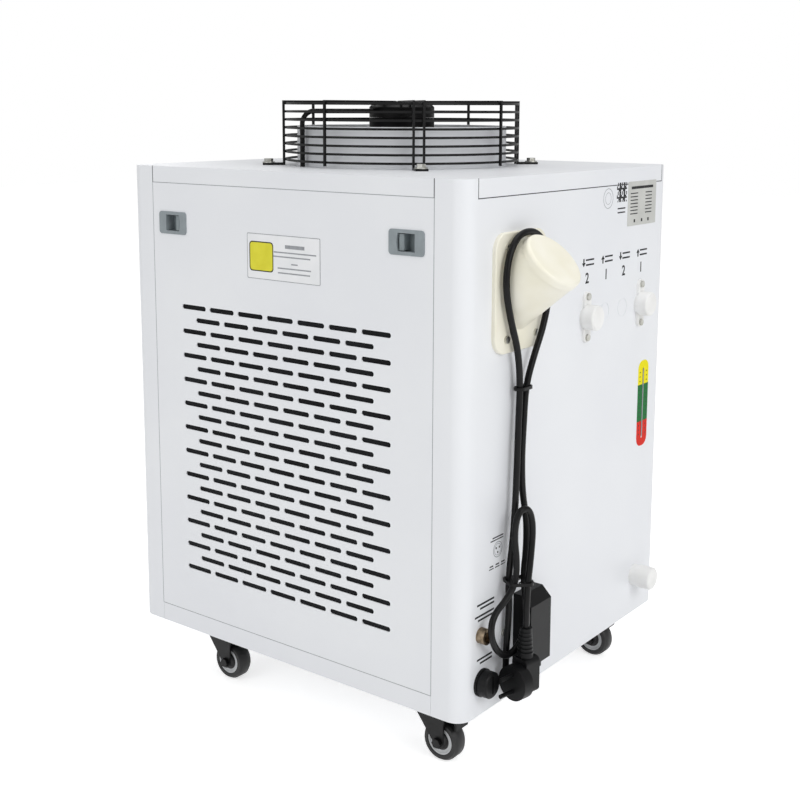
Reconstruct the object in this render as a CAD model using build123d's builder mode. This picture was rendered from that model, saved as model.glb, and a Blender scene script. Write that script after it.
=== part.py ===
from build123d import *
import math
import os

# A recirculating chiller on casters, in millimetres, +Z up.
# The grille side faces +X, the rear with the water fittings +Y, the front with the controls -Y.
# The origin is on the floor, under the middle of the object's box.

# Cabinet
body_width = 470.0
body_length = 522.0
body_height = 600.0
floor_clearance = 68.0
sheet = 1.2
bend_radius = 20.0
side_flange = 42.0
corner_notch = 20.5
lid_skirt = 20.5
pan_wall = 24.0
pan_floor = 2.0
seam_gap = 0.3
return_depth = 12.0

# Grille panel
slot_length = 41.5
slot_height = 6.0
slot_pitch = 48.3
slot_row_pitch = 30.9
slot_columns = 7
slot_rows = 12
slot_centre_offset = -4.0
slot_top_row = 426.0
slot_end_cut = 1.8
gauze_thickness = 0.8
gauze_margin = 12.0

# Panel latches
latch_spread = 366.0
latch_height = 530.0
latch_bezel_width = 48.0
latch_bezel_height = 28.0
latch_proud = 1.2
latch_hole_margin = 2.0
latch_window_width = 23.0
latch_window_height = 20.0
latch_tab_width = 7.0
latch_tab_height = 18.0
latch_travel = 10.0
latch_plate = 1.5
fit_gap = 0.3

# Fan on the lid
fan_centre_offset = -4.0
shroud_radius = 135.0
shroud_wall = 2.0
shroud_height = 50.0
shroud_flange = 8.0
guard_radius = 150.0
guard_height = 78.0
guard_wire = 2.8
guard_sides = 32
guard_side_rings = 8
guard_ring_pitch = 10.1
guard_top_pitch = 10.5
guard_top_rings = 11
guard_pair_spacing = 12.5
guard_foot_radius = 172.0
guard_feet = 4
motor_radius = 42.0
motor_flange_height = 12.0
rotor_height = 56.0
blade_tip_gap = 6.0
blade_chord = 88.0
blade_pitch = 27.0
blade_count = 5
blade_thickness = 1.6
blade_camber = 9.0

# Casters
wheel_radius = 24.0
wheel_width = 20.0
hub_radius = 17.5
axle_radius = 3.2
running_gap = 0.08
caster_trail = 14.0
caster_plate_width = 60.0
caster_plate_length = 92.0
caster_plate_thickness = 2.5
caster_inset_grille = 38.0
caster_inset_plain = 78.0
caster_inset_rear = 63.0
caster_inset_front = 118.0
fork_sheet = 2.5
kingpin_radius = 4.5
raceway_radius = 16.0
raceway_height = 6.5
bolt_flats = 10.0
bolt_head = 4.0

# Filler on the rear
filler_x = 134.0
filler_height = 474.0
filler_plate_width = 105.0
filler_plate_height = 133.0
filler_plate_thickness = 5.0
filler_plate_corner = 20.0
filler_rise = 9.0
filler_radius = 37.0
filler_base_half_height = 52.0
filler_wall = 3.0
filler_tilt = 45.0
filler_reach = 46.5
filler_lift = 38.5
filler_cap_thickness = 10.0
filler_throat_radius = 20.0
screw_inset_x = 22.0
screw_inset_z = 16.0
screw_head_radius = 4.2
screw_head_height = 1.2

# Water ports, drain and level gauge on the rear
port_left_x = -20.0
port_right_x = -161.0
port_height = 424.0
port_flange_width = 17.0
port_flange_height = 62.0
port_flange_thickness = 3.0
port_radius = 9.0
port_bore = 6.0
port_cap_radius = 15.5
port_cap_depth = 15.0
port_screw_spread = 50.0
knockout_radius = 12.0
knockout_recess = 0.4
drain_x = -170.0
drain_height = 53.0
drain_radius = 9.0
drain_neck_length = 9.0
drain_cap_radius = 15.0
drain_cap_depth = 20.0
gauge_x = -180.0
gauge_height = 289.0
gauge_slot_width = 4.0
gauge_slot_length = 95.0

# Electrical fittings on the rear
hood_x = 110.0
hood_base = 37.0
hood_width = 44.0
hood_depth = 24.0
hood_height = 85.0
hood_chamfer = 12.0
gland_radius = 9.0
gland_length = 5.0
alarm_x = 200.0
alarm_height = 95.0
alarm_radius = 9.0
alarm_length = 10.0
ground_x = 153.0
ground_height = 82.0
fuse_x = 196.0
fuse_height = 38.0
fuse_radius = 16.0
fuse_length = 15.0
fuse_hole_radius = 7.0

# Controls on the front
controller_width = 150.0
controller_height = 78.0
controller_depth = 40.0
controller_level = 520.0
bezel_proud = 4.0
button_radius = 6.0
button_proud = 1.5
button_travel = 0.8
button_pitch = 24.0
switch_width = 30.0
switch_height = 22.0
switch_x = 150.0
rocker_tilt = 8.0

# Inside
condenser_depth = 38.0
condenser_length = 400.0
condenser_height = 520.0
condenser_gap = 24.0
fin_grooves = 20
tank_width = 340.0
tank_depth = 100.0
tank_height = 300.0
tank_level = 218.0
tank_corner = 12.0
stand_sheet = 2.0
compressor_radius = 58.0
compressor_height = 210.0
mount_height = 16.0
evaporator_width = 76.0
evaporator_depth = 60.0
evaporator_height = 190.0
pump_radius = 42.0
pump_length = 110.0
pipe_radius = 5.0
hose_radius = 9.0

# Power cord
cord_diameter = 7.6

# Derived places
body_bottom = floor_clearance
body_top = floor_clearance + body_height
rear_reach = filler_reach + filler_radius * math.sin(math.radians(filler_tilt))
front_reach = bezel_proud + button_proud
body_y = (front_reach - rear_reach) / 2
rear_y = body_y + body_length / 2
front_y = body_y - body_length / 2
side_x = body_width / 2
band_length = body_length - 2 * side_flange
notch_span = body_width - 2 * corner_notch
panel_bottom = body_bottom + pan_wall + seam_gap
panel_top = body_top - lid_skirt - seam_gap
floor_top = body_bottom + pan_floor
fan_y = body_y + fan_centre_offset

# Hex bolts: four hold the guard's feet, sixteen the casters
bolt_radius = 3.0
washer_radius = 8.0
washer_height = 1.4
guard_bolt_length = 14.0
caster_bolt_length = caster_plate_thickness + pan_floor

# Places of the casters and their bolts
caster_xs = (caster_inset_plain - side_x, side_x - caster_inset_grille)
caster_front_y = front_y + caster_inset_front
caster_rear_y = rear_y - caster_inset_rear
plate_bottom = body_bottom - caster_plate_thickness
raceway_bottom = plate_bottom - raceway_height
plate_bolt_x = caster_plate_width / 2 - 8
plate_bolt_y = caster_plate_length / 2 - 8
bolt_gap = 0.2
caster_places = {
    "front_left": (caster_xs[0], caster_front_y),
    "front_right": (caster_xs[1], caster_front_y),
    "rear_left": (caster_xs[0], caster_rear_y),
    "rear_right": (caster_xs[1], caster_rear_y),
}
caster_bolt_places = [
    (x + sx * plate_bolt_x, y + sy * plate_bolt_y)
    for x, y in caster_places.values() for sx in (-1, 1) for sy in (-1, 1)
]

os.makedirs("parts", exist_ok=True)


def save(piece, name):
    piece.part.label = name
    export_step(piece.part, f"parts/{name}.step")


# Planes whose X runs along +X (front and rear) or +Y (sides) and whose Y is up
def rear_plane(outward=0.0):
    return Plane.XZ.offset(-(rear_y + outward))


def front_plane(outward=0.0):
    return Plane.XZ.offset(-(front_y - outward))


def grille_plane(outward=0.0):
    return Plane.YZ.offset(side_x + outward)


def plain_plane(outward=0.0):
    return Plane.YZ.offset(-(side_x + outward))


# Cabinet shell

# Plus-shaped outline of the lid: skirts between the folded corners of the end panels
def lid_outline(inset):
    with BuildSketch() as outline:
        with Locations((0, body_y)):
            Rectangle(body_width - 2 * inset, band_length - 2 * (seam_gap + inset))
            Rectangle(notch_span - 2 * (seam_gap + inset), body_length - 2 * inset)
    return outline.sketch


# Outline of the pan: flush with the sides between the flanges, inside the end panels elsewhere
def pan_outline(inset):
    clear = sheet + seam_gap + inset
    with BuildSketch() as outline:
        with Locations((0, body_y)):
            Rectangle(body_width - 2 * inset, band_length - 2 * (seam_gap + inset))
            RectangleRounded(body_width - 2 * clear, body_length - 2 * clear, bend_radius - clear)
    return outline.sketch


with BuildPart() as base_pan:
    with BuildSketch(Plane.XY.offset(body_bottom)):
        add(pan_outline(0))
    extrude(amount=pan_wall)
    with BuildSketch(Plane.XY.offset(floor_top)):
        add(pan_outline(sheet))
    extrude(amount=pan_wall, mode=Mode.SUBTRACT)
    with Locations(*[(x, y, body_bottom) for x, y in caster_bolt_places]):
        Cylinder(bolt_radius + bolt_gap, 4 * pan_floor, mode=Mode.SUBTRACT)
save(base_pan, "base_pan")

with BuildPart() as lid:
    with BuildSketch(Plane.XY.offset(body_top)):
        add(lid_outline(0))
    extrude(amount=-lid_skirt)
    with BuildSketch(Plane.XY.offset(body_top - sheet)):
        add(lid_outline(sheet))
    extrude(amount=-lid_skirt, mode=Mode.SUBTRACT)
    with Locations((0, fan_y, body_top)):
        Hole(shroud_radius - shroud_flange, 4 * sheet)
        with PolarLocations(guard_foot_radius, guard_feet, start_angle=180 / guard_feet):
            Cylinder(bolt_radius + bolt_gap, 4 * sheet, mode=Mode.SUBTRACT)
save(lid, "lid")


# One folded end panel: a full-width face, bends, flanges round the sides and closed corner tops.
# end is +1 for the rear and -1 for the front.
def end_panel(end):
    reach = 2 * side_flange
    edge_y = body_y + end * (body_length / 2 - side_flange)
    with BuildPart() as panel:
        with BuildSketch(Plane.XY.offset(body_bottom)):
            with Locations((0, body_y)):
                RectangleRounded(body_width, body_length, bend_radius)
                inner_radius = bend_radius - sheet
                RectangleRounded(body_width - 2 * sheet, body_length - 2 * sheet, inner_radius,
                                 mode=Mode.SUBTRACT)
            with Locations((0, edge_y + end * reach / 2)):
                Rectangle(2 * body_width, reach, mode=Mode.INTERSECT)
        extrude(amount=body_height)
        with BuildSketch(Plane.XY.offset(panel_bottom)):
            for side in (-1, 1):
                with Locations((side * (side_x - return_depth / 2), edge_y + end * sheet / 2)):
                    Rectangle(return_depth, sheet)
        extrude(amount=panel_top - panel_bottom)
        with Locations((0, edge_y + end * reach / 2, body_top)):
            Box(notch_span, reach, 2 * (lid_skirt + seam_gap), mode=Mode.SUBTRACT)
        with BuildSketch(Plane.XY.offset(body_top)):
            with Locations((0, body_y)):
                RectangleRounded(body_width, body_length, bend_radius)
            with Locations((0, edge_y + end * reach / 2)):
                Rectangle(2 * body_width, reach, mode=Mode.INTERSECT)
            with Locations((0, body_y)):
                Rectangle(notch_span, 2 * body_length, mode=Mode.SUBTRACT)
        extrude(amount=-sheet)
    return panel


rear_form = end_panel(1)
with BuildPart() as rear_panel:
    add(rear_form.part)
    with BuildSketch(rear_plane()):
        with Locations((filler_x, body_bottom + filler_height + filler_rise)):
            Circle(filler_throat_radius + fit_gap)
        for x in (port_left_x, port_right_x):
            with Locations((x, body_bottom + port_height)):
                Circle(port_radius + fit_gap)
        with Locations((drain_x, body_bottom + drain_height)):
            Circle(drain_radius + fit_gap)
        with Locations((gauge_x, body_bottom + gauge_height)):
            SlotOverall(gauge_slot_length, gauge_slot_width, rotation=90)
        with Locations((fuse_x, body_bottom + fuse_height)):
            Circle(fuse_hole_radius + fit_gap)
        with Locations((alarm_x, body_bottom + alarm_height)):
            Circle(alarm_radius - 2)
    extrude(amount=2 * sheet, both=True, mode=Mode.SUBTRACT)
    with BuildSketch(rear_plane()):
        for step in (1, 2):
            knockout_x = port_left_x + step * (port_right_x - port_left_x) / 3
            with Locations((knockout_x, body_bottom + port_height)):
                Circle(knockout_radius)
                Circle(knockout_radius - 0.8, mode=Mode.SUBTRACT)
    extrude(amount=knockout_recess, mode=Mode.SUBTRACT)
save(rear_panel, "rear_panel")

controller_z = body_bottom + controller_level
front_form = end_panel(-1)
with BuildPart() as front_panel:
    add(front_form.part)
    with BuildSketch(front_plane()):
        with Locations((0, controller_z)):
            Rectangle(controller_width, controller_height)
        with Locations((switch_x, controller_z)):
            Rectangle(switch_width, switch_height)
    extrude(amount=2 * sheet, both=True, mode=Mode.SUBTRACT)
save(front_panel, "front_panel")

# Side panels: shallow trays that lie flush between the flanges of the end panels
panel_height = panel_top - panel_bottom
panel_length = band_length - 2 * seam_gap
panel_z = (panel_top + panel_bottom) / 2
latch_z = body_bottom + latch_height
latch_ys = (body_y - latch_spread / 2, body_y + latch_spread / 2)


def side_tray(plane, inward):
    with BuildPart() as tray:
        with BuildSketch(plane):
            with Locations((body_y, panel_z)):
                Rectangle(panel_length, panel_height)
        extrude(amount=inward * return_depth)
        with BuildSketch(plane.offset(inward * sheet)):
            with Locations((body_y, panel_z)):
                Rectangle(panel_length - 2 * sheet, panel_height - 2 * sheet)
        extrude(amount=inward * return_depth, mode=Mode.SUBTRACT)
    return tray


# Slots with cut corners, in rows of seven and six that stand half a pitch apart
def slot_field():
    top_z = body_bottom + slot_top_row
    with BuildSketch() as slots:
        for row in range(2 * slot_rows - 1):
            columns = slot_columns - row % 2
            centre = (body_y + slot_centre_offset, top_z - row * slot_row_pitch / 2)
            with Locations(centre):
                with GridLocations(slot_pitch, slot_height, columns, 1):
                    Rectangle(slot_length, slot_height)
        chamfer(slots.vertices(), slot_end_cut)
    return slots.sketch



field_length = slot_columns * slot_pitch
field_height = (slot_rows - 1) * slot_row_pitch + slot_height
field_centre = (body_y + slot_centre_offset, body_bottom + slot_top_row - (slot_rows - 1) * slot_row_pitch / 2)

with BuildPart() as grille_panel:
    add(side_tray(grille_plane(), -1).part)
    with BuildSketch(grille_plane()):
        add(slot_field())
        for y in latch_ys:
            with Locations((y, latch_z)):
                hole_width = latch_bezel_width - 2 * latch_hole_margin
                Rectangle(hole_width, latch_bezel_height - 2 * latch_hole_margin)
    extrude(amount=-2 * sheet, mode=Mode.SUBTRACT)
save(grille_panel, "grille_panel")

with BuildPart() as dust_filter:
    with BuildSketch(grille_plane(-sheet)):
        with Locations(field_centre):
            RectangleRounded(field_length + gauze_margin, field_height + gauze_margin, gauze_margin / 2)
    extrude(amount=-gauze_thickness)
save(dust_filter, "dust_filter")

with BuildPart() as plain_panel:
    add(side_tray(plain_plane(), 1).part)
save(plain_panel, "plain_panel")

# Latches: the thumb tab stands at the window's inner end, and slides out towards the panel's edge
bezel_depth = return_depth
slide_plate_x = side_x - return_depth - fit_gap
window_half = latch_window_width / 2


def latch_window(outward):
    half_height = latch_window_height / 2
    bulge = latch_tab_width / 4
    with BuildSketch() as window:
        with BuildLine():
            Polyline((-outward * window_half, half_height), (outward * window_half, half_height),
                     (outward * window_half, -half_height), (-outward * window_half, -half_height))
            ThreePointArc((-outward * window_half, -half_height), (-outward * (window_half + bulge), 0),
                          (-outward * window_half, half_height))
        make_face()
    return window.sketch


with BuildPart() as latch_bezels:
    for y, outward in zip(latch_ys, (-1, 1)):
        with BuildSketch(grille_plane()):
            with Locations((y, latch_z)):
                RectangleRounded(latch_bezel_width, latch_bezel_height, 2 * latch_hole_margin)
        extrude(amount=latch_proud)
        with BuildSketch(grille_plane()):
            with Locations((y, latch_z)):
                margin = latch_hole_margin + fit_gap
                Rectangle(latch_bezel_width - 2 * margin, latch_bezel_height - 2 * margin)
        extrude(amount=-bezel_depth)
        with BuildSketch(grille_plane()):
            with Locations((y, latch_z)):
                add(latch_window(outward))
        extrude(amount=2 * bezel_depth, both=True, mode=Mode.SUBTRACT)
save(latch_bezels, "latch_bezels")


def latch_slide(y, outward):
    edge_reach = latch_spread / 2 - (panel_length / 2 - sheet - fit_gap)
    outer_end = -edge_reach - sheet - 2 * fit_gap
    inner_end = window_half + latch_travel + latch_tab_width
    plate_length = outer_end + inner_end
    plate_centre = y + outward * (outer_end - inner_end) / 2
    tab_centre = y - outward * (window_half - latch_tab_width / 2 - fit_gap)
    with BuildPart() as slide:
        with BuildSketch(grille_plane(-return_depth - fit_gap)):
            with Locations((plate_centre, latch_z)):
                Rectangle(plate_length, latch_window_height + 4)
        extrude(amount=-latch_plate)
        with BuildSketch(grille_plane(-return_depth - fit_gap)):
            with Locations((tab_centre, latch_z)):
                Rectangle(latch_tab_width, latch_tab_height)
        extrude(amount=return_depth)
        tab_edges = slide.edges().filter_by(Axis.Z).group_by(Axis.X)[-1]
        fillet(tab_edges, latch_tab_width / 4)
    return slide


front_latch_slide = latch_slide(latch_ys[0], -1)
save(front_latch_slide, "front_latch_slide")
rear_latch_slide = latch_slide(latch_ys[1], 1)
save(rear_latch_slide, "rear_latch_slide")

# Fan, its ring on the lid and its wire guard
fan_axis = (0, fan_y)
lid_top = body_top

with BuildPart() as fan_shroud:
    with BuildSketch(Plane.XY.offset(lid_top)):
        with Locations(fan_axis):
            Circle(shroud_radius)
            Circle(shroud_radius - shroud_wall, mode=Mode.SUBTRACT)
    extrude(amount=shroud_height)
    with BuildSketch(Plane.XY.offset(lid_top)):
        with Locations(fan_axis):
            Circle(shroud_radius - shroud_wall / 2)
            Circle(shroud_radius - shroud_flange, mode=Mode.SUBTRACT)
    extrude(amount=shroud_wall)
    chamfer(fan_shroud.edges().group_by(Axis.Z)[-1], shroud_wall / 4)
save(fan_shroud, "fan_shroud")

wire_lap = 0.4
top_wire_z = lid_top + guard_height
radial_z = top_wire_z + guard_wire - wire_lap
outer_wire_radius = guard_radius + guard_wire - wire_lap
motor_plate_radius = motor_radius - 4
motor_plate_bore = 14.0


def wire_ring(radius, z):
    with BuildPart() as ring:
        with BuildSketch(Plane.XY.offset(z - guard_wire / 2)):
            with Locations(fan_axis):
                RegularPolygon(radius + guard_wire / 2, guard_sides)
                RegularPolygon(radius - guard_wire / 2, guard_sides, mode=Mode.SUBTRACT)
        extrude(amount=guard_wire)
    return ring.part


# One bent wire in the XZ plane: from the motor plate over the rings and down outside them
def bent_wire(bottom):
    half = guard_wire / 2
    inner = motor_plate_bore + half
    with BuildPart() as wire:
        with BuildSketch(Plane.XZ):
            with BuildLine():
                Polyline(
                    (inner, radial_z - half),
                    (outer_wire_radius - half, radial_z - half),
                    (outer_wire_radius - half, bottom),
                    (outer_wire_radius + half, bottom),
                    (outer_wire_radius + half, radial_z + half),
                    (inner, radial_z + half),
                    close=True,
                )
            make_face()
        extrude(amount=half, both=True)
    return wire.part


pair_offset = guard_pair_spacing / 2
foot_end_radius = guard_foot_radius + pair_offset
foot_length = foot_end_radius - outer_wire_radius + guard_wire / 2
foot_wire = bent_wire(lid_top)
plain_wire = bent_wire(lid_top + guard_wire)

with BuildPart() as fan_guard:
    for ring in range(guard_side_rings):
        add(wire_ring(guard_radius, top_wire_z - ring * guard_ring_pitch))
    for ring in range(1, guard_top_rings):
        add(wire_ring(guard_radius - ring * guard_top_pitch, top_wire_z))
    with BuildSketch(Plane.XY.offset(top_wire_z - guard_wire / 2)):
        with Locations(fan_axis):
            Circle(motor_plate_radius)
            Circle(motor_plate_bore, mode=Mode.SUBTRACT)
    extrude(amount=guard_wire)
    with Locations((*fan_axis, 0)):
        with PolarLocations(0, guard_feet):
            add(plain_wire)
        with PolarLocations(0, guard_feet, start_angle=180 / guard_feet):
            with Locations((0, pair_offset, 0), (0, -pair_offset, 0)):
                add(foot_wire)
                with Locations((foot_end_radius - foot_length / 2, 0, lid_top + guard_wire / 2)):
                    Box(foot_length, guard_wire, guard_wire)
            with Locations((foot_end_radius, 0, lid_top + guard_wire / 2)):
                Box(guard_wire, guard_pair_spacing + guard_wire, guard_wire)
save(fan_guard, "fan_guard")

rotor_radius = motor_radius
rotor_bottom = lid_top + 4.0
rotor_top = rotor_bottom + rotor_height
stator_bottom = rotor_top + 2 * fit_gap
stator_top = top_wire_z - guard_wire / 2
shaft_radius = 6.0
shaft_length = 30.0
motor_bolt_circle = 28.0

with BuildPart() as fan_motor:
    with BuildSketch(Plane.XY.offset(stator_bottom)):
        with Locations(fan_axis):
            Circle(rotor_radius)
    extrude(amount=stator_top - stator_bottom)
    chamfer(fan_motor.edges().group_by(Axis.Z)[-1], 3)
    with BuildSketch(Plane.XY.offset(stator_bottom)):
        with Locations(fan_axis):
            Circle(shaft_radius)
    extrude(amount=-shaft_length)
save(fan_motor, "fan_motor")


# One crescent-section blade, pitched about the radius and reaching outwards along X
def fan_blade():
    pitch = math.radians(blade_pitch)
    half = blade_chord / 2

    def turned(x, z):
        return (x * math.cos(pitch) - z * math.sin(pitch), x * math.sin(pitch) + z * math.cos(pitch))

    with BuildPart() as blade:
        with BuildSketch(Plane.YZ):
            with BuildLine():
                ThreePointArc(turned(-half, 0), turned(0, blade_camber), turned(half, 0))
                ThreePointArc(turned(-half, 0), turned(0, blade_camber - blade_thickness), turned(half, 0))
            make_face()
        extrude(amount=shroud_radius)
        Cylinder(shroud_radius - shroud_wall - blade_tip_gap, 2 * blade_chord, mode=Mode.INTERSECT)
    return blade.part


blade = fan_blade()
with BuildPart() as impeller:
    with BuildSketch(Plane.XY.offset(rotor_bottom)):
        with Locations(fan_axis):
            Circle(rotor_radius)
    extrude(amount=rotor_height)
    fillet(impeller.edges().group_by(Axis.Z)[0], 5)
    with Locations((*fan_axis, rotor_bottom + rotor_height / 2 - blade_camber)):
        with PolarLocations(0, blade_count):
            add(blade)
    with Locations((*fan_axis, rotor_top)):
        Hole(shaft_radius + running_gap, shaft_length + fit_gap)
save(impeller, "impeller")

def hex_bolt(washer, length):
    with BuildPart() as bolt:
        with BuildSketch(Plane.XY.offset(washer)):
            RegularPolygon(bolt_flats / 2, 6, major_radius=False)
        extrude(amount=bolt_head)
        if washer > 0:
            Cylinder(washer_radius, washer, align=(Align.CENTER, Align.CENTER, Align.MIN))
        Cylinder(bolt_radius, length, align=(Align.CENTER, Align.CENTER, Align.MAX))
    return bolt.part


with BuildPart() as hex_bolts:
    with Locations((*fan_axis, lid_top + guard_wire)):
        with PolarLocations(guard_foot_radius, guard_feet, start_angle=180 / guard_feet):
            add(hex_bolt(washer_height, guard_bolt_length))
    with Locations(*[Location((x, y, plate_bottom), (180, 0, 0)) for x, y in caster_bolt_places]):
        add(hex_bolt(0, caster_bolt_length))
save(hex_bolts, "hex_bolts")

with BuildPart() as caster_plates:
    for x, y in caster_places.values():
        with BuildSketch(Plane.XY.offset(plate_bottom)):
            with Locations((x, y)):
                RectangleRounded(caster_plate_width, caster_plate_length, 6)
        extrude(amount=caster_plate_thickness)
        with Locations((x, y, plate_bottom)):
            Cone(raceway_radius - 3, raceway_radius, raceway_height, align=(Align.CENTER, Align.CENTER, Align.MAX))
        with Locations((x, y, raceway_bottom)):
            pin_length = fork_sheet + 2 * fit_gap
            Cylinder(kingpin_radius, pin_length, align=(Align.CENTER, Align.CENTER, Align.MAX))
        with Locations((x, y, raceway_bottom - fork_sheet - 2 * fit_gap)):
            Cylinder(1.6 * kingpin_radius, 2, align=(Align.CENTER, Align.CENTER, Align.MAX))
    with Locations(*[(x, y, plate_bottom) for x, y in caster_bolt_places]):
        Cylinder(bolt_radius + bolt_gap, 4 * caster_plate_thickness, mode=Mode.SUBTRACT)
save(caster_plates, "caster_plates")

fork_top = raceway_bottom - fit_gap
fork_inside = wheel_width / 2 + 2
fork_half = fork_inside + fork_sheet
axle_z = wheel_radius
axle_half = fork_half + bolt_head + 1
pedal_pivot_y = caster_trail + 2
pedal_pivot_z = fork_top - 6.5
pedal_pin_radius = 2.0
pedal_gap = 0.3


# A pressed yoke with two tapering legs, and the bolt that carries the wheel
def caster_fork(x, y, pedal):
    with BuildPart() as fork:
        with BuildSketch(Plane.YZ):
            with BuildLine():
                Polyline((-20, fork_top), (22, fork_top), (caster_trail + 7, axle_z),
                         (caster_trail - 7, axle_z), close=True)
            make_face()
            with Locations((caster_trail, axle_z)):
                Circle(7.6)
        extrude(amount=fork_half, both=True)
        with Locations((0, caster_trail, (fork_top - fork_sheet) / 2)):
            Box(2 * fork_inside, 4 * wheel_radius, fork_top - fork_sheet, mode=Mode.SUBTRACT)
        with Locations((0, 0, fork_top)):
            Hole(kingpin_radius + running_gap, 2 * fork_sheet)
        with Locations(Location((0, caster_trail, axle_z), (0, 90, 0))):
            Cylinder(axle_radius + running_gap, 3 * fork_half, mode=Mode.SUBTRACT)
            Cylinder(axle_radius, 2 * axle_half - bolt_head)
        for side in (-1, 1):
            with BuildSketch(Plane.YZ.offset(side * (fork_half + bolt_head / 2))):
                with Locations((caster_trail, axle_z)):
                    RegularPolygon(bolt_flats / 2, 6, major_radius=False)
            extrude(amount=bolt_head / 2, both=True)
        if pedal:
            with Locations(Location((0, pedal_pivot_y, pedal_pivot_z), (0, 90, 0))):
                Cylinder(pedal_pin_radius, 2 * fork_half)
    return fork.part.moved(Location((x, y, 0)))


# A tyre moulded onto its hub, turned about the axle
def caster_wheel(x, y):
    half = wheel_width / 2
    bore = axle_radius + running_gap
    with BuildPart() as wheel:
        with BuildSketch(Plane.XY):
            with BuildLine():
                Polyline((bore, -half - 1.5), (7, -half - 1.5), (9, -half + 2), (14, -half + 2),
                         (15, -half + 0.5), (hub_radius, -half + 0.5), (hub_radius, -half),
                         (wheel_radius - 2.5, -half), (wheel_radius, -half + 4), (wheel_radius, half - 4),
                         (wheel_radius - 2.5, half), (hub_radius, half), (hub_radius, half - 0.5),
                         (15, half - 0.5), (14, half - 2), (9, half - 2), (7, half + 1.5),
                         (bore, half + 1.5), close=True)
            make_face()
        revolve(axis=Axis.Y)
    return wheel.part.rotate(Axis.Z, -90).moved(Location((x, y + caster_trail, axle_z)))


# The brake lever: an arm over the wheel with its tip turned down
def brake_pedal(x, y):
    reach = 21.0
    with BuildPart() as pedal:
        with BuildSketch(Plane.YZ):
            Circle(pedal_pin_radius + 1)
            with Locations((reach / 2, 1.5)):
                Rectangle(reach, 2.5)
            with Locations((reach, -3)):
                Rectangle(2.5, 11.5)
            Circle(pedal_pin_radius + running_gap, mode=Mode.SUBTRACT)
        extrude(amount=fork_inside - pedal_gap, both=True)
    return pedal.part.moved(Location((x, y + pedal_pivot_y, pedal_pivot_z)))


for place, (x, y) in caster_places.items():
    braked = place.startswith("rear")
    with BuildPart() as fork:
        add(caster_fork(x, y, braked))
    save(fork, f"{place}_fork")
    with BuildPart() as wheel:
        add(caster_wheel(x, y))
    save(wheel, f"{place}_wheel")
    if braked:
        with BuildPart() as pedal:
            add(brake_pedal(x, y))
        save(pedal, f"{place}_pedal")

# Water filler: a moulded neck that leans out at 45 degrees, with its round cap
filler_plate_z = body_bottom + filler_height
filler_base_z = filler_plate_z + filler_rise
plate_face_y = rear_y + filler_plate_thickness
tilt = math.radians(filler_tilt)
cap_face = Vector(filler_x, rear_y + filler_reach, filler_plate_z + filler_lift)
filler_axis = Vector(0, math.cos(tilt), math.sin(tilt))
mouth = cap_face - filler_axis * filler_cap_thickness
mouth_plane = Plane(origin=mouth, x_dir=(1, 0, 0), z_dir=filler_axis)
neck_mouth_radius = filler_radius - 1.0


def neck_form(inset):
    with BuildPart() as form:
        with BuildSketch(Plane.XZ.offset(-plate_face_y)):
            with Locations((filler_x, filler_base_z)):
                Ellipse(filler_radius - inset, filler_base_half_height - inset)
        with BuildSketch(mouth_plane):
            Circle(neck_mouth_radius - inset)
        loft()
    return form.part


filler_screws = [(filler_x + sx * (filler_plate_width / 2 - screw_inset_x),
                  filler_plate_z + sz * (filler_plate_height / 2 - screw_inset_z))
                 for sx in (-1, 1) for sz in (-1, 1)]
tank_front_y = rear_y - 27.0 - tank_depth
tank_back_y = tank_front_y + tank_depth
throat_length = rear_y - tank_back_y

with BuildPart() as filler_neck:
    with BuildSketch(rear_plane()):
        with Locations((filler_x, filler_plate_z)):
            RectangleRounded(filler_plate_width, filler_plate_height, filler_plate_corner)
    extrude(amount=-filler_plate_thickness)
    fillet(filler_neck.faces().sort_by(Axis.Y)[-1].edges(), 1.5)
    add(neck_form(0))
    with BuildSketch(rear_plane()):
        with Locations((filler_x, filler_base_z)):
            Circle(filler_throat_radius)
    extrude(amount=throat_length)
    add(neck_form(filler_wall), mode=Mode.SUBTRACT)
    with BuildSketch(rear_plane(filler_plate_thickness)):
        with Locations((filler_x, filler_base_z)):
            Circle(filler_throat_radius - filler_wall)
    extrude(amount=2 * throat_length, mode=Mode.SUBTRACT)
    with BuildSketch(rear_plane()):
        with Locations(*filler_screws):
            Circle(screw_head_radius / 2 + bolt_gap)
    extrude(amount=2 * filler_plate_thickness, both=True, mode=Mode.SUBTRACT)
save(filler_neck, "filler_neck")

with BuildPart() as filler_cap:
    with BuildSketch(mouth_plane.offset(fit_gap)):
        Circle(filler_radius)
    extrude(amount=filler_cap_thickness - fit_gap)
    fillet(filler_cap.faces().sort_by(Axis((0, 0, 0), (0, 1, 1)))[-1].edges(), 4)
    with BuildSketch(mouth_plane.offset(fit_gap)):
        Circle(neck_mouth_radius - filler_wall - 2 * fit_gap)
        Circle(neck_mouth_radius - 2 * filler_wall, mode=Mode.SUBTRACT)
    extrude(amount=-4)
save(filler_cap, "filler_cap")

# Water ports: oval flanges with threaded stubs, each under a round cap
port_z = body_bottom + port_height
port_xs = (port_left_x, port_right_x)
port_screws = [(x, port_z + sz * port_screw_spread / 2) for x in port_xs for sz in (-1, 1)]
port_nut_flats = 26.0
port_nut_depth = 14.0

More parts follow.
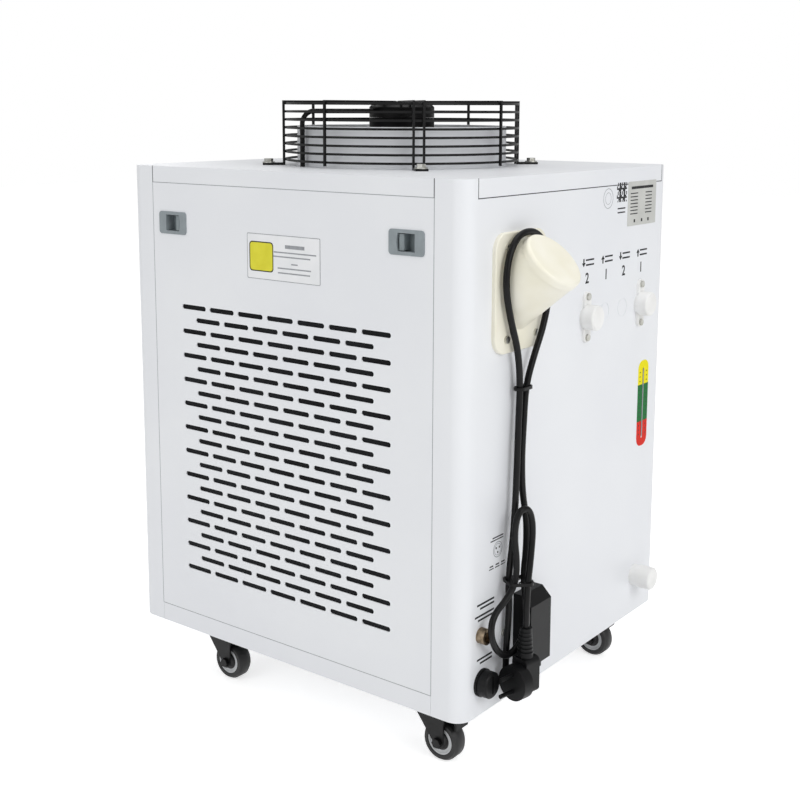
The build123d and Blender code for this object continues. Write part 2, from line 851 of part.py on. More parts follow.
with BuildPart() as port_bodies:
    for x in port_xs:
        with BuildSketch(rear_plane()):
            with Locations((x, port_z)):
                SlotOverall(port_flange_height, port_flange_width, rotation=90)
                Circle(port_cap_radius - 1)
        extrude(amount=-port_flange_thickness)
        with BuildSketch(rear_plane(port_flange_thickness)):
            with Locations((x, port_z)):
                Circle(port_radius)
        extrude(amount=-(port_cap_depth - 4))
        with BuildSketch(rear_plane()):
            with Locations((x, port_z)):
                Circle(port_radius)
        extrude(amount=sheet + fit_gap)
        with BuildSketch(rear_plane(-sheet - fit_gap)):
            with Locations((x, port_z)):
                RegularPolygon(port_nut_flats / 2, 6, major_radius=False)
        extrude(amount=port_nut_depth)
        with BuildSketch(rear_plane(2 * port_cap_depth)):
            with Locations((x, port_z)):
                Circle(port_bore)
        extrude(amount=3 * port_cap_depth, mode=Mode.SUBTRACT)
    with BuildSketch(rear_plane()):
        with Locations(*port_screws):
            Circle(screw_head_radius / 2 + bolt_gap)
    extrude(amount=2 * port_flange_thickness, both=True, mode=Mode.SUBTRACT)
save(port_bodies, "port_bodies")


# A round push-on cap, open towards the cabinet
def round_cap(x, z, base, radius, depth, bore):
    with BuildPart() as cap:
        with BuildSketch(rear_plane(base)):
            with Locations((x, z)):
                Circle(radius)
        extrude(amount=-depth)
        fillet(cap.faces().sort_by(Axis.Y)[-1].edges(), radius / 5)
        with BuildSketch(rear_plane(base)):
            with Locations((x, z)):
                Circle(bore + running_gap)
        extrude(amount=-(depth - 3), mode=Mode.SUBTRACT)
    return cap


port_cap_left = round_cap(port_left_x, port_z, port_flange_thickness + fit_gap, port_cap_radius,
                          port_cap_depth, port_radius)
save(port_cap_left, "port_cap_left")
port_cap_right = round_cap(port_right_x, port_z, port_flange_thickness + fit_gap, port_cap_radius,
                           port_cap_depth, port_radius)
save(port_cap_right, "port_cap_right")

drain_z = body_bottom + drain_height
with BuildPart() as drain_port:
    with BuildSketch(rear_plane()):
        with Locations((drain_x, drain_z)):
            Circle(drain_cap_radius - 1)
    extrude(amount=-drain_neck_length)
    with BuildSketch(rear_plane(drain_neck_length)):
        with Locations((drain_x, drain_z)):
            Circle(drain_radius)
    extrude(amount=-(drain_cap_depth - 4))
    with BuildSketch(rear_plane()):
        with Locations((drain_x, drain_z)):
            Circle(drain_radius)
    extrude(amount=port_nut_depth)
    with BuildSketch(rear_plane(2 * drain_cap_depth)):
        with Locations((drain_x, drain_z)):
            Circle(port_bore)
    extrude(amount=4 * drain_cap_depth, mode=Mode.SUBTRACT)
save(drain_port, "drain_port")
drain_cap = round_cap(drain_x, drain_z, drain_neck_length + fit_gap, drain_cap_radius, drain_cap_depth,
                      drain_radius)
save(drain_cap, "drain_cap")

# Level gauge: a clear tube behind the slot in the panel
gauge_z = body_bottom + gauge_height
gauge_tube_radius = 6.0
with BuildPart() as level_gauge:
    with Locations((gauge_x, rear_y - sheet - gauge_tube_radius, gauge_z)):
        Cylinder(gauge_tube_radius, gauge_slot_length + 30)
        Cylinder(gauge_tube_radius - 1.2, gauge_slot_length + 24, mode=Mode.SUBTRACT)
save(level_gauge, "level_gauge")

# Electrical fittings
hood_bottom = body_bottom + hood_base
gland_y = rear_y + hood_depth - gland_radius
with BuildPart() as power_hood:
    with BuildSketch(rear_plane()):
        with Locations((hood_x, hood_bottom + hood_height / 2)):
            Rectangle(hood_width, hood_height)
    extrude(amount=-hood_depth)
    top_outer = power_hood.edges().filter_by(Axis.X).sort_by(Axis.Y).group_by(Axis.Z)[-1].sort_by(Axis.Y)[-1]
    chamfer(top_outer, hood_chamfer)
    with Locations((hood_x, gland_y, hood_bottom)):
        Cylinder(gland_radius, gland_length, align=(Align.CENTER, Align.CENTER, Align.MAX))
save(power_hood, "power_hood")

alarm_z = body_bottom + alarm_height
with BuildPart() as alarm_connector:
    with BuildSketch(rear_plane()):
        with Locations((alarm_x, alarm_z)):
            Circle(alarm_radius)
    extrude(amount=-alarm_length)
    with BuildSketch(rear_plane()):
        with Locations((alarm_x, alarm_z)):
            Circle(alarm_radius - 2 - fit_gap)
    extrude(amount=alarm_length)
    with BuildSketch(rear_plane(alarm_length)):
        with Locations((alarm_x, alarm_z)):
            Circle(alarm_radius - 3)
    extrude(amount=alarm_length / 2, mode=Mode.SUBTRACT)
save(alarm_connector, "alarm_connector")

fuse_z = body_bottom + fuse_height
fuse_flange = 3.0
fuse_barrel = 30.0
fuse_bore = 4.0
with BuildPart() as fuse_holder:
    with BuildSketch(rear_plane()):
        with Locations((fuse_x, fuse_z)):
            Circle(fuse_radius)
    extrude(amount=-fuse_flange)
    with BuildSketch(rear_plane()):
        with Locations((fuse_x, fuse_z)):
            Circle(fuse_hole_radius)
    extrude(amount=fuse_barrel)
    with BuildSketch(rear_plane(2 * fuse_flange)):
        with Locations((fuse_x, fuse_z)):
            Circle(fuse_bore)
    extrude(amount=fuse_barrel, mode=Mode.SUBTRACT)
save(fuse_holder, "fuse_holder")

with BuildPart() as fuse_cap:
    with BuildSketch(rear_plane(fuse_flange + fit_gap)):
        with Locations((fuse_x, fuse_z)):
            Circle(fuse_radius - 1)
    extrude(amount=-(fuse_length - fuse_flange))
    chamfer(fuse_cap.faces().sort_by(Axis.Y)[-1].edges(), 1.5)
    with BuildSketch(rear_plane(fuse_length + fit_gap)):
        with Locations((fuse_x, fuse_z)):
            Rectangle(2.4, 1.3 * fuse_radius)
    extrude(amount=3, mode=Mode.SUBTRACT)
    with BuildSketch(rear_plane(fuse_flange + fit_gap)):
        with Locations((fuse_x, fuse_z)):
            Circle(fuse_bore - running_gap)
    extrude(amount=20)
save(fuse_cap, "fuse_cap")

# Pan-head screws: filler, ports, earth terminal, and the plain side panel
ground_place = (ground_x, body_bottom + ground_height)
plain_screws = [(body_y + s * latch_spread / 2, latch_z) for s in (-1, 1)]
with BuildPart() as pan_screws:
    for places, base, length in ((filler_screws, filler_plate_thickness, filler_plate_thickness),
                                 (port_screws, port_flange_thickness, port_flange_thickness),
                                 ([ground_place], 0.0, 0.0)):
        with BuildSketch(rear_plane(base)):
            with Locations(*places):
                Circle(screw_head_radius)
        extrude(amount=-screw_head_height * 2)
        if length > 0:
            with BuildSketch(rear_plane(base)):
                with Locations(*places):
                    Circle(screw_head_radius / 2)
            extrude(amount=length)
    with BuildSketch(plain_plane()):
        with Locations(*plain_screws):
            Circle(screw_head_radius)
    extrude(amount=-latch_proud)
save(pan_screws, "pan_screws")

# Controls on the front: a panel instrument with four keys, and a rocker switch
key_zs = controller_z - controller_height * 0.28
key_xs = [(i - 1.5) * button_pitch for i in range(4)]
with BuildPart() as controller:
    with BuildSketch(front_plane()):
        with Locations((0, controller_z)):
            RectangleRounded(controller_width + 12, controller_height + 12, 5)
    extrude(amount=bezel_proud)
    fillet(controller.faces().sort_by(Axis.Y)[0].edges(), 1.5)
    with BuildSketch(front_plane()):
        with Locations((0, controller_z)):
            Rectangle(controller_width - 2 * fit_gap, controller_height - 2 * fit_gap)
    extrude(amount=-controller_depth)
    with BuildSketch(front_plane(bezel_proud)):
        with Locations((0, controller_z + controller_height * 0.15)):
            Rectangle(controller_width * 0.6, controller_height * 0.45)
    extrude(amount=-1, mode=Mode.SUBTRACT)
    with BuildSketch(front_plane(bezel_proud)):
        with Locations(*[(x, key_zs) for x in key_xs]):
            Circle(button_radius + running_gap)
    extrude(amount=-6, mode=Mode.SUBTRACT)
save(controller, "controller")

for number, x in enumerate(key_xs, start=1):
    with BuildPart() as key:
        with BuildSketch(front_plane(bezel_proud - 4)):
            with Locations((x, key_zs)):
                Circle(button_radius)
        extrude(amount=4 + button_proud)
        fillet(key.faces().sort_by(Axis.Y)[0].edges(), 0.7)
    save(key, f"controller_key_{number}")

rocker_width = switch_width - 10.0
rocker_height = switch_height - 8.0
rocker_proud = 2.0
with BuildPart() as switch_frame:
    with BuildSketch(front_plane()):
        with Locations((switch_x, controller_z)):
            RectangleRounded(switch_width + 4, switch_height + 4, 2)
    extrude(amount=2)
    with BuildSketch(front_plane()):
        with Locations((switch_x, controller_z)):
            Rectangle(switch_width - 2 * fit_gap, switch_height - 2 * fit_gap)
    extrude(amount=-20)
    with BuildSketch(front_plane(2)):
        with Locations((switch_x, controller_z)):
            Rectangle(rocker_width + 1.2, rocker_height + 0.6)
    extrude(amount=-14, mode=Mode.SUBTRACT)
save(switch_frame, "switch_frame")

with BuildPart() as switch_rocker:
    with BuildSketch(Plane((switch_x, front_y, controller_z))):
        with BuildLine():
            Polyline((-rocker_width / 2, 0), (-rocker_width / 2, -rocker_proud - 1.2), (0, -rocker_proud),
                     (rocker_width / 2, -rocker_proud - 1.2), (rocker_width / 2, 0), (0, 8), close=True)
        make_face()
    extrude(amount=rocker_height / 2, both=True)
save(switch_rocker, "switch_rocker")

# Inside: condenser behind the grille
condenser_x = side_x - return_depth - condenser_gap - condenser_depth / 2
condenser_z = floor_top + condenser_height / 2
end_plate = 1.5
with BuildPart() as condenser:
    with Locations((condenser_x, body_y, condenser_z)):
        Box(condenser_depth, condenser_length, condenser_height)
    groove_pitch = condenser_length / (fin_grooves + 1)
    with Locations((condenser_x + condenser_depth / 2, body_y, condenser_z)):
        with GridLocations(4, groove_pitch, 1, fin_grooves):
            Box(6, 1.5, condenser_height, mode=Mode.SUBTRACT)
    for side in (-1, 1):
        with Locations((condenser_x, body_y + side * (condenser_length + end_plate) / 2, condenser_z)):
            Box(condenser_depth + 8, end_plate, condenser_height)
save(condenser, "condenser")

# Water tank on its stand behind the rear panel
tank_x = filler_x + filler_throat_radius + 1 - tank_width / 2
tank_y = tank_back_y - tank_depth / 2
tank_bottom = body_bottom + tank_level
with BuildPart() as water_tank:
    with BuildSketch(Plane.XY.offset(tank_bottom)):
        with Locations((tank_x, tank_y)):
            RectangleRounded(tank_width, tank_depth, tank_corner)
    extrude(amount=tank_height)
    with BuildSketch(Plane.XY.offset(tank_bottom + 3)):
        with Locations((tank_x, tank_y)):
            RectangleRounded(tank_width - 6, tank_depth - 6, tank_corner - 3)
    extrude(amount=tank_height - 6, mode=Mode.SUBTRACT)
    with BuildSketch(Plane.XZ.offset(-tank_back_y)):
        with Locations((filler_x, filler_base_z)):
            Circle(filler_throat_radius - filler_wall)
    extrude(amount=8, both=True, mode=Mode.SUBTRACT)
save(water_tank, "water_tank")

with BuildPart() as tank_stand:
    with BuildSketch(Plane.XZ.offset(-tank_front_y)):
        with Locations((tank_x, (tank_bottom + floor_top) / 2)):
            Rectangle(tank_width, tank_bottom - floor_top)
        with Locations((tank_x, (tank_bottom + floor_top) / 2 - stand_sheet)):
            Rectangle(tank_width - 2 * stand_sheet, tank_bottom - floor_top, mode=Mode.SUBTRACT)
    extrude(amount=-tank_depth)
save(tank_stand, "tank_stand")

# Compressor on three rubber mounts
compressor_x = -70.0
compressor_y = body_y - 90.0
shell_bottom = floor_top + mount_height
with BuildPart() as compressor:
    with BuildSketch(Plane.XZ):
        with BuildLine():
            Polyline((0, 6), (30, 6), (compressor_radius, 30), (compressor_radius, compressor_height - 30),
                     (0.8 * compressor_radius, compressor_height - 10),
                     (0.45 * compressor_radius, compressor_height), (0, compressor_height), close=True)
        make_face()
    revolve(axis=Axis.Z)
    with BuildSketch():
        RegularPolygon(compressor_radius + 40, 3)
    extrude(amount=6.5)
compressor_part = compressor.part.moved(Location((compressor_x, compressor_y, shell_bottom)))
with BuildPart() as compressor:
    add(compressor_part)
save(compressor, "compressor")

with BuildPart() as compressor_mounts:
    with Locations((compressor_x, compressor_y, floor_top)):
        with PolarLocations(compressor_radius + 14, 3):
            Cylinder(12, mount_height, align=(Align.CENTER, Align.CENTER, Align.MIN))
save(compressor_mounts, "compressor_mounts")

evaporator_x = 98.0
evaporator_y = body_y - evaporator_depth / 2
with BuildPart() as evaporator:
    with BuildSketch(Plane.XY.offset(floor_top)):
        with Locations((evaporator_x, evaporator_y)):
            RectangleRounded(evaporator_width, evaporator_depth, 10)
    extrude(amount=evaporator_height)
save(evaporator, "evaporator")

# Pump under the tank: motor, volute, foot, inlet at its end and outlet on top
pump_x = -60.0
pump_z = floor_top + 8 + pump_radius
volute_length = 34.0
inlet_x = pump_x - volute_length - 10
outlet_x = pump_x - volute_length / 2
outlet_z = pump_z + pump_radius + 10
with BuildPart() as pump:
    with BuildSketch(Plane.YZ.offset(pump_x)):
        with Locations((tank_y, pump_z)):
            Circle(pump_radius)
    extrude(amount=pump_length)
    extrude(pump.faces().sort_by(Axis.X)[0], amount=volute_length)
    with Locations((pump_x + pump_length / 2, tank_y, floor_top + 8)):
        Box(pump_length * 0.7, 1.4 * pump_radius, 16)
    with BuildSketch(Plane.YZ.offset(inlet_x)):
        with Locations((tank_y, pump_z)):
            Circle(hose_radius + 2)
    extrude(amount=20)
    with Locations((outlet_x, tank_y, outlet_z)):
        Cylinder(hose_radius + 2, 30, align=(Align.CENTER, Align.CENTER, Align.MAX))
save(pump, "pump")


# A bent pipe along straight runs joined by tangent arcs
def bent_pipe(points, bend, radius):
    with BuildPart() as pipe:
        with BuildLine() as path:
            FilletPolyline(*points, radius=bend)
        with BuildSketch(Plane(origin=points[0], z_dir=Vector(*points[1]) - Vector(*points[0]))):
            Circle(radius)
        sweep(path=path.line)
    return pipe.part


condenser_back = condenser_x - condenser_depth / 2
compressor_top = shell_bottom + compressor_height
discharge_z = compressor_top + 40
suction_x = evaporator_x - 20
suction_z = compressor_top + 4
with BuildPart() as refrigerant_pipes:
    add(bent_pipe([(compressor_x, compressor_y, compressor_top), (compressor_x, compressor_y, discharge_z),
                   (120, compressor_y, discharge_z), (120, compressor_y, 540),
                   (condenser_back, compressor_y, 540)], 18, pipe_radius))
    add(bent_pipe([(suction_x, evaporator_y, floor_top + evaporator_height),
                   (suction_x, evaporator_y, suction_z), (30, evaporator_y, suction_z),
                   (30, compressor_y, suction_z), (30, compressor_y, 200),
                   (compressor_x + compressor_radius, compressor_y, 200)], 15, pipe_radius))
    add(bent_pipe([(condenser_back, body_y - 150, 110), (evaporator_x, body_y - 150, 110),
                   (evaporator_x, evaporator_y - evaporator_depth / 2, 110)], 18, pipe_radius))
    with BuildSketch(Plane.XZ.offset(-(body_y - 80))):
        with Locations((evaporator_x, 110)):
            Circle(12)
    extrude(amount=45)
save(refrigerant_pipes, "refrigerant_pipes")

hose_gap_y = (tank_back_y + rear_y - sheet) / 2
hose_bend = 20.0
nut_bottom = port_z - port_nut_flats / 2
with BuildPart() as water_hoses:
    add(bent_pipe([(-172, tank_front_y, 300), (-172, tank_front_y - 32, 300),
                   (-172, tank_front_y - 32, pump_z), (-172, tank_y, pump_z),
                   (inlet_x, tank_y, pump_z)], 14, hose_radius))
    add(bent_pipe([(outlet_x, tank_y, outlet_z), (outlet_x, tank_y, outlet_z + 32),
                   (port_left_x, tank_y, outlet_z + 32), (port_left_x, hose_gap_y, outlet_z + 32),
                   (port_left_x, hose_gap_y, nut_bottom)], 14, hose_radius))
    add(bent_pipe([(port_right_x, hose_gap_y, nut_bottom), (port_right_x, hose_gap_y, 452),
                   (-137, hose_gap_y, 452), (-137, hose_gap_y, 240),
                   (-137, body_y + 60, 240), (0, body_y + 60, 240), (0, evaporator_y, 240),
                   (evaporator_x - evaporator_width / 2, evaporator_y, 240)], 12, hose_radius))
    add(bent_pipe([(evaporator_x - evaporator_width / 2, evaporator_y, 130), (20, evaporator_y, 130),
                   (20, body_y + 90, 130), (20, body_y + 90, 320), (20, tank_front_y, 320)],
                  hose_bend, hose_radius))
save(water_hoses, "water_hoses")

with BuildPart() as electrical_box:
    with Locations((-150, front_y + sheet + 45, body_bottom + 400)):
        Box(110, 90, 250)
save(electrical_box, "electrical_box")

# Motor cable: out of the motor under the guard's top, over the ring and down to the lid
cable_radius = 3.0
cable_angle = -23.0
cable_z = (stator_bottom + stator_top) / 2
cable_drop_radius = (shroud_radius + guard_radius - guard_wire / 2) / 2
with BuildPart() as fan_cable:
    cable = bent_pipe([(rotor_radius, 0, cable_z), (cable_drop_radius, 0, cable_z),
                       (cable_drop_radius, 0, lid_top)], 16, cable_radius)
    add(cable.rotate(Axis.Z, cable_angle).moved(Location((0, fan_y, 0))))
save(fan_cable, "fan_cable")

# Power cord: X, distance out from the rear face, height above the cabinet's bottom
cord_route = [
    (110, 15, 32), (110, 15, 19), (119, 13, 7), (137, 9, 5), (151, 6.9, 16), (157, 6.8, 38), (157, 7, 70),
    (153.5, 8, 110), (156.5, 8, 150), (152, 10.5, 195), (149, 11, 240), (147, 11, 285), (144, 10, 330),
    (142, 10, 370), (150, 11.5, 410), (167, 12, 446), (179, 12.2, 483), (174, 12.4, 517), (154, 12, 538.5),
    (122, 12, 541), (99, 12.4, 525), (87, 12.2, 496), (87.5, 12.2, 463), (99, 12.4, 430), (115, 11.5, 402),
    (130, 10, 368), (133, 10, 330), (136, 10, 285), (135, 11, 245), (128, 13, 212), (134, 17, 180),
    (143, 19, 150), (142, 23, 118), (138, 23, 92), (147, 19, 72), (166, 16, 62), (185, 15.5, 72),
    (199, 16, 89), (204, 16, 108), (194, 15, 122), (174, 17, 132), (160, 20, 148), (158, 20, 172),
    (163, 18.5, 206), (160, 22, 232), (145, 26, 233), (138, 28, 212), (143, 29, 177), (155, 31.5, 137),
    (155, 31.5, 97),
]


def route_point(x, out, up):
    return Vector(x, rear_y + out, body_bottom + up)


def run_radii(points):
    radii = []
    for before, corner, after in zip(points, points[1:], points[2:]):
        turn = math.radians((corner - before).get_angle(after - corner))
        shorter = min((corner - before).length, (after - corner).length)
        radii.append(0.45 * shorter / math.tan(turn / 2))
    return radii


cord_points = [route_point(*place) for place in cord_route]
cord_radii = run_radii(cord_points)
with BuildPart() as power_cord:
    with BuildLine() as cord_path:
        FilletPolyline(*cord_points, radius=cord_radii)
    with BuildSketch(Plane(origin=cord_points[0], z_dir=cord_points[1] - cord_points[0])):
        Circle(cord_diameter / 2)
    sweep(path=cord_path.line)
save(power_cord, "power_cord")
cord_length = cord_path.wires()[0].length
cord_section = math.pi * cord_diameter ** 2 / 4
print("cord radii", [round(radius) for radius in cord_radii])
print("cord length", round(cord_length), "volume ratio", power_cord.part.volume / (cord_section * cord_length))

# Plug: an angled mains plug that hangs from the cord, its round face turned to one side
relief_length = 34.0
plug_face_radius = 20.0
plug_turn = -10.0
cord_end = cord_points[-1]
with BuildPart() as plug_form:
    with BuildSketch(Plane.XY):
        Circle(cord_diameter / 2 + 3)
    with BuildSketch(Plane.XY.offset(-relief_length)):
        Circle(cord_diameter / 2 + 5)
    loft()
    with BuildSketch(Plane.YZ.offset(-12)):
        with Locations((0, -relief_length - 21)):
            RectangleRounded(22, 42, 6)
    extrude(amount=22)
    with BuildSketch(Plane.YZ.offset(8)):
        with Locations((0, -relief_length - 26)):
            Circle(plug_face_radius)
    extrude(amount=14)
    with BuildSketch(Plane.YZ.offset(20)):
        with Locations((0, -relief_length - 16.5), (0, -relief_length - 35.5)):
            Circle(2.4)
    extrude(amount=2 + 19)
with BuildPart() as plug:
    add(plug_form.part.rotate(Axis.Z, plug_turn).moved(Location(cord_end)))
save(plug, "plug")

# Two ties round the cord's bundle
tie_wall = 1.2
tie_slack = 1.8


def strap_outline(strands, gap):
    with BuildSketch(Plane.XY) as outline:
        with Locations(*strands):
            Circle(cord_diameter / 2 + gap)
        make_hull()
    return outline.sketch


# One strap pulled round the strands that pass it, each given as its X and its distance behind the panel
def tie(strands, up):
    with BuildPart() as loop:
        with BuildSketch(Plane.XY):
            add(strap_outline(strands, tie_slack + tie_wall))
            add(strap_outline(strands, tie_slack), mode=Mode.SUBTRACT)
        extrude(amount=3.6)
    return loop.part.moved(Location(route_point(0, 0, up)))


with BuildPart() as cord_ties:
    add(tie([(142.9, 10.1), (129.1, 10.1)], 364))
    add(tie([(155.7, 8.2), (142.1, 19.4), (161.9, 19.5), (151.5, 30.8)], 146))
save(cord_ties, "cord_ties")
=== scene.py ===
import math

import bmesh
import bpy
from mathutils import Matrix, Vector


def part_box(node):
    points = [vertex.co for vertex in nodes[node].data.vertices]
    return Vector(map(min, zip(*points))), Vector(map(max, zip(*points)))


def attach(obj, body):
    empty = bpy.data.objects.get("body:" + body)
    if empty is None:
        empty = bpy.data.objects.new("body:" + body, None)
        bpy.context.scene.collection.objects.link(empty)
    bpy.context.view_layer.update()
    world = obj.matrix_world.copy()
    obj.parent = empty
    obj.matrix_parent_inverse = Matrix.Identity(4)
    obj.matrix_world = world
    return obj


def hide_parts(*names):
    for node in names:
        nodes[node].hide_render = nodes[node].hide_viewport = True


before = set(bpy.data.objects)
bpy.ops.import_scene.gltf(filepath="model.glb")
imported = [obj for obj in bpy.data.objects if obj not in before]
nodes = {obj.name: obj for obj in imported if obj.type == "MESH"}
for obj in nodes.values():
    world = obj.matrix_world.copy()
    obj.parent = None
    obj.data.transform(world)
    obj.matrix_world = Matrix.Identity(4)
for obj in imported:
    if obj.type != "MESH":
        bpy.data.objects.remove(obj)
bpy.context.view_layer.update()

print("frame loaded:", len(nodes), "nodes")

mm = 0.001
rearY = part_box("rear_panel")[1].y
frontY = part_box("front_panel")[0].y
sideX = 235 * mm  # face of the side panels
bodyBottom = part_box("base_pan")[0].z
bodyMidY = (rearY + frontY) / 2


# An sRGB hex colour as the linear values that a shader takes
def toLinear(hexColour):
    channels = [int(hexColour[i:i + 2], 16) / 255 for i in (0, 2, 4)]
    return [c / 12.92 if c <= 0.04045 else ((c + 0.055) / 1.055) ** 2.4 for c in channels] + [1.0]


def addNode(tree, kind, sockets=None, **settings):
    node = tree.nodes.new(kind)
    for key, value in settings.items():
        setattr(node, key, value)
    for key, value in (sockets or {}).items():
        if isinstance(value, bpy.types.NodeSocket):
            tree.links.new(value, node.inputs[key])
        else:
            node.inputs[key].default_value = value
    return node


def startMaterial(name, colour, roughness, metallic=0.0, ior=1.5, coat=0.0, sheen=0.5):
    material = bpy.data.materials.new(name)
    material.use_nodes = True
    tree = material.node_tree
    tree.nodes.clear()
    shader = addNode(tree, "ShaderNodeBsdfPrincipled", {
        "Base Color": toLinear(colour), "Roughness": roughness, "Metallic": metallic,
        "IOR": ior, "Coat Weight": coat, "Specular IOR Level": sheen})
    addNode(tree, "ShaderNodeOutputMaterial", {"Surface": shader.outputs[0]})
    place = addNode(tree, "ShaderNodeTexCoord")
    return material, tree, shader, place.outputs["Object"]


def blendColours(tree, factor, first, second):
    mix = addNode(tree, "ShaderNodeMix", {"Factor": factor}, data_type="RGBA")
    for key, value in ((6, first), (7, second)):
        if isinstance(value, str):
            mix.inputs[key].default_value = toLinear(value)
        else:
            tree.links.new(value, mix.inputs[key])
    return mix.outputs[2]


# Fine grain on a surface: how rough, how it is tinted, and how high its bumps stand, from one grain size
def addGrain(tree, shader, place, look):
    grain = addNode(tree, "ShaderNodeTexNoise", {
        "Vector": place, "Scale": 1 / (look["grain"] * mm), "Detail": 3.0, "Roughness": 0.55})
    cloud = addNode(tree, "ShaderNodeTexNoise", {
        "Vector": place, "Scale": 1 / (look.get("cloud", 60) * mm), "Detail": 2.0})
    if "tint" in look:
        tint = addNode(tree, "ShaderNodeMapRange", {
            "Value": cloud.outputs[0], "From Min": 0.35, "From Max": 0.65, "To Min": 0.0, "To Max": 1.0})
        tree.links.new(blendColours(tree, tint.outputs[0], look["colour"], look["tint"]),
                       shader.inputs["Base Color"])
    spread = addNode(tree, "ShaderNodeMapRange", {
        "Value": grain.outputs[0], "From Min": 0.3, "From Max": 0.7,
        "To Min": look["roughness"] - 0.05, "To Max": look["roughness"] + 0.05})
    tree.links.new(spread.outputs[0], shader.inputs["Roughness"])
    bump = addNode(tree, "ShaderNodeBump", {
        "Height": grain.outputs[0], "Strength": 0.25, "Distance": look["bump"] * mm})
    tree.links.new(bump.outputs[0], shader.inputs["Normal"])
    return bump


def grainMaterial(name, look):
    material, tree, shader, place = startMaterial(
        name, look["colour"], look["roughness"], look.get("metallic", 0.0), look.get("ior", 1.5),
        look.get("coat", 0.0), look.get("sheen", 0.5))
    addGrain(tree, shader, place, look)
    return material


looks = {
    # polyester powder coat, sprayed and baked: satin with a fine orange peel
    "whitePowderCoat": dict(colour="eceef1", tint="e8eaee", roughness=0.42, grain=1.1, bump=0.05,
                            cloud=180),
    # zinc plated steel: bright, a little yellow and cloudy
    "zincPlatedSteel": dict(colour="c9c9c4", tint="b4b3aa", roughness=0.32, metallic=1.0, grain=0.5,
                            bump=0.02, cloud=6),
    # black powder coat on wire and pressed steel
    "blackPowderCoat": dict(colour="0a0a0b", tint="101011", roughness=0.36, sheen=0.25, grain=0.7,
                            bump=0.04, cloud=20),
    # glass filled nylon, spark-eroded mould: matt black
    "blackNylon": dict(colour="08080a", tint="0d0e0f", roughness=0.46, sheen=0.2, grain=0.5, bump=0.05,
                       cloud=25),
    # ivory ABS, injection moulded with a soft gloss
    "ivoryAbs": dict(colour="f4f1e3", tint="ede9d6", roughness=0.38, grain=0.9, bump=0.02, cloud=45,
                     coat=0.1),
    # white polypropylene caps and flanges: waxy
    "whitePolypropylene": dict(colour="f4f4f3", tint="ececea", roughness=0.4, grain=0.8, bump=0.02,
                               cloud=20),
    # grey ABS latches, finely textured
    "greyAbs": dict(colour="8f989c", tint="878f93", roughness=0.45, grain=0.45, bump=0.05, cloud=15),
    "paleGreyAbs": dict(colour="858f92", tint="7b8588", roughness=0.45, grain=0.45, bump=0.04, cloud=10),
    # turned brass, gone dull
    "dullBrass": dict(colour="9c8b75", tint="786a57", roughness=0.35, metallic=1.0, grain=0.4, bump=0.02,
                      cloud=5),
    # soft PVC sheath of a mains cord
    "cordPvc": dict(colour="060607", tint="0a0a0b", roughness=0.38, sheen=0.2, grain=0.6, bump=0.03,
                    cloud=12),
    "tieNylon": dict(colour="060607", tint="0a0a0b", roughness=0.36, sheen=0.2, grain=0.5, bump=0.02,
                     cloud=8),
    # grey silicone keys
    "keySilicone": dict(colour="9c9fa3", tint="92969a", roughness=0.55, grain=0.4, bump=0.03, cloud=8),
    # cast and painted or bare metals of the works inside
    "aluminiumFins": dict(colour="c7c9cb", tint="b2b5b8", roughness=0.34, metallic=1.0, grain=0.7,
                          bump=0.05, cloud=30),
    "copperPipe": dict(colour="c07a50", tint="9c5a38", roughness=0.3, metallic=1.0, grain=0.5, bump=0.02,
                       cloud=14),
    "stainlessSteel": dict(colour="bfc0c1", tint="b0b1b3", roughness=0.3, metallic=1.0, grain=0.35,
                           bump=0.02, cloud=40),
    "galvanisedSheet": dict(colour="a9adb0", tint="8f9498", roughness=0.4, metallic=1.0, grain=1.5,
                            bump=0.03, cloud=14),
    "pumpPaint": dict(colour="3d5266", tint="35485a", roughness=0.4, grain=0.9, bump=0.05, cloud=30),
    "hoseRubber": dict(colour="4a4c4e", tint="404244", roughness=0.55, grain=0.6, bump=0.04, cloud=20),
    "mountRubber": dict(colour="1b1b1b", tint="242424", roughness=0.7, grain=0.6, bump=0.06, cloud=12),
    # screen inks and printed films; the dark ink also gives the painted shade in the screw cross recesses,
    # the pale ink the painted shade in the side seams
    "darkInkAndRecessShade": dict(colour="1c1d1f", tint="252628", roughness=0.5, sheen=0.2, grain=0.4, bump=0.01,
                    cloud=6),
    # painted shade: a dark grey laid in the gaps between the sheets, where there is only shade
    "paintedSeamShade": dict(colour="3c3e41", tint="333538", roughness=0.6, grain=0.4, bump=0.02, cloud=10),
    "paleInkAndSeamShade": dict(colour="9fa2a6", tint="94979b", roughness=0.5, sheen=0.2, grain=0.4, bump=0.01,
                    cloud=6),
    "whiteFilm": dict(colour="f0f1f3", tint="eaecee", roughness=0.34, grain=1.2, bump=0.01, cloud=25),
    "greyFilm": dict(colour="c9cac6", tint="c0c1bd", roughness=0.32, grain=0.6, bump=0.015, cloud=20),
    "yellowFilm": dict(colour="e2dc3c", tint="dcd534", roughness=0.34, sheen=0.3, grain=0.8, bump=0.01,
                       cloud=12),
}
made = {name: grainMaterial(name, look) for name, look in looks.items()}


# Filter gauze: dark nylon threads crossing 2 mm apart, drawn coarser than the real 1 mm so that they show
gauzePitch = 2.0 * mm


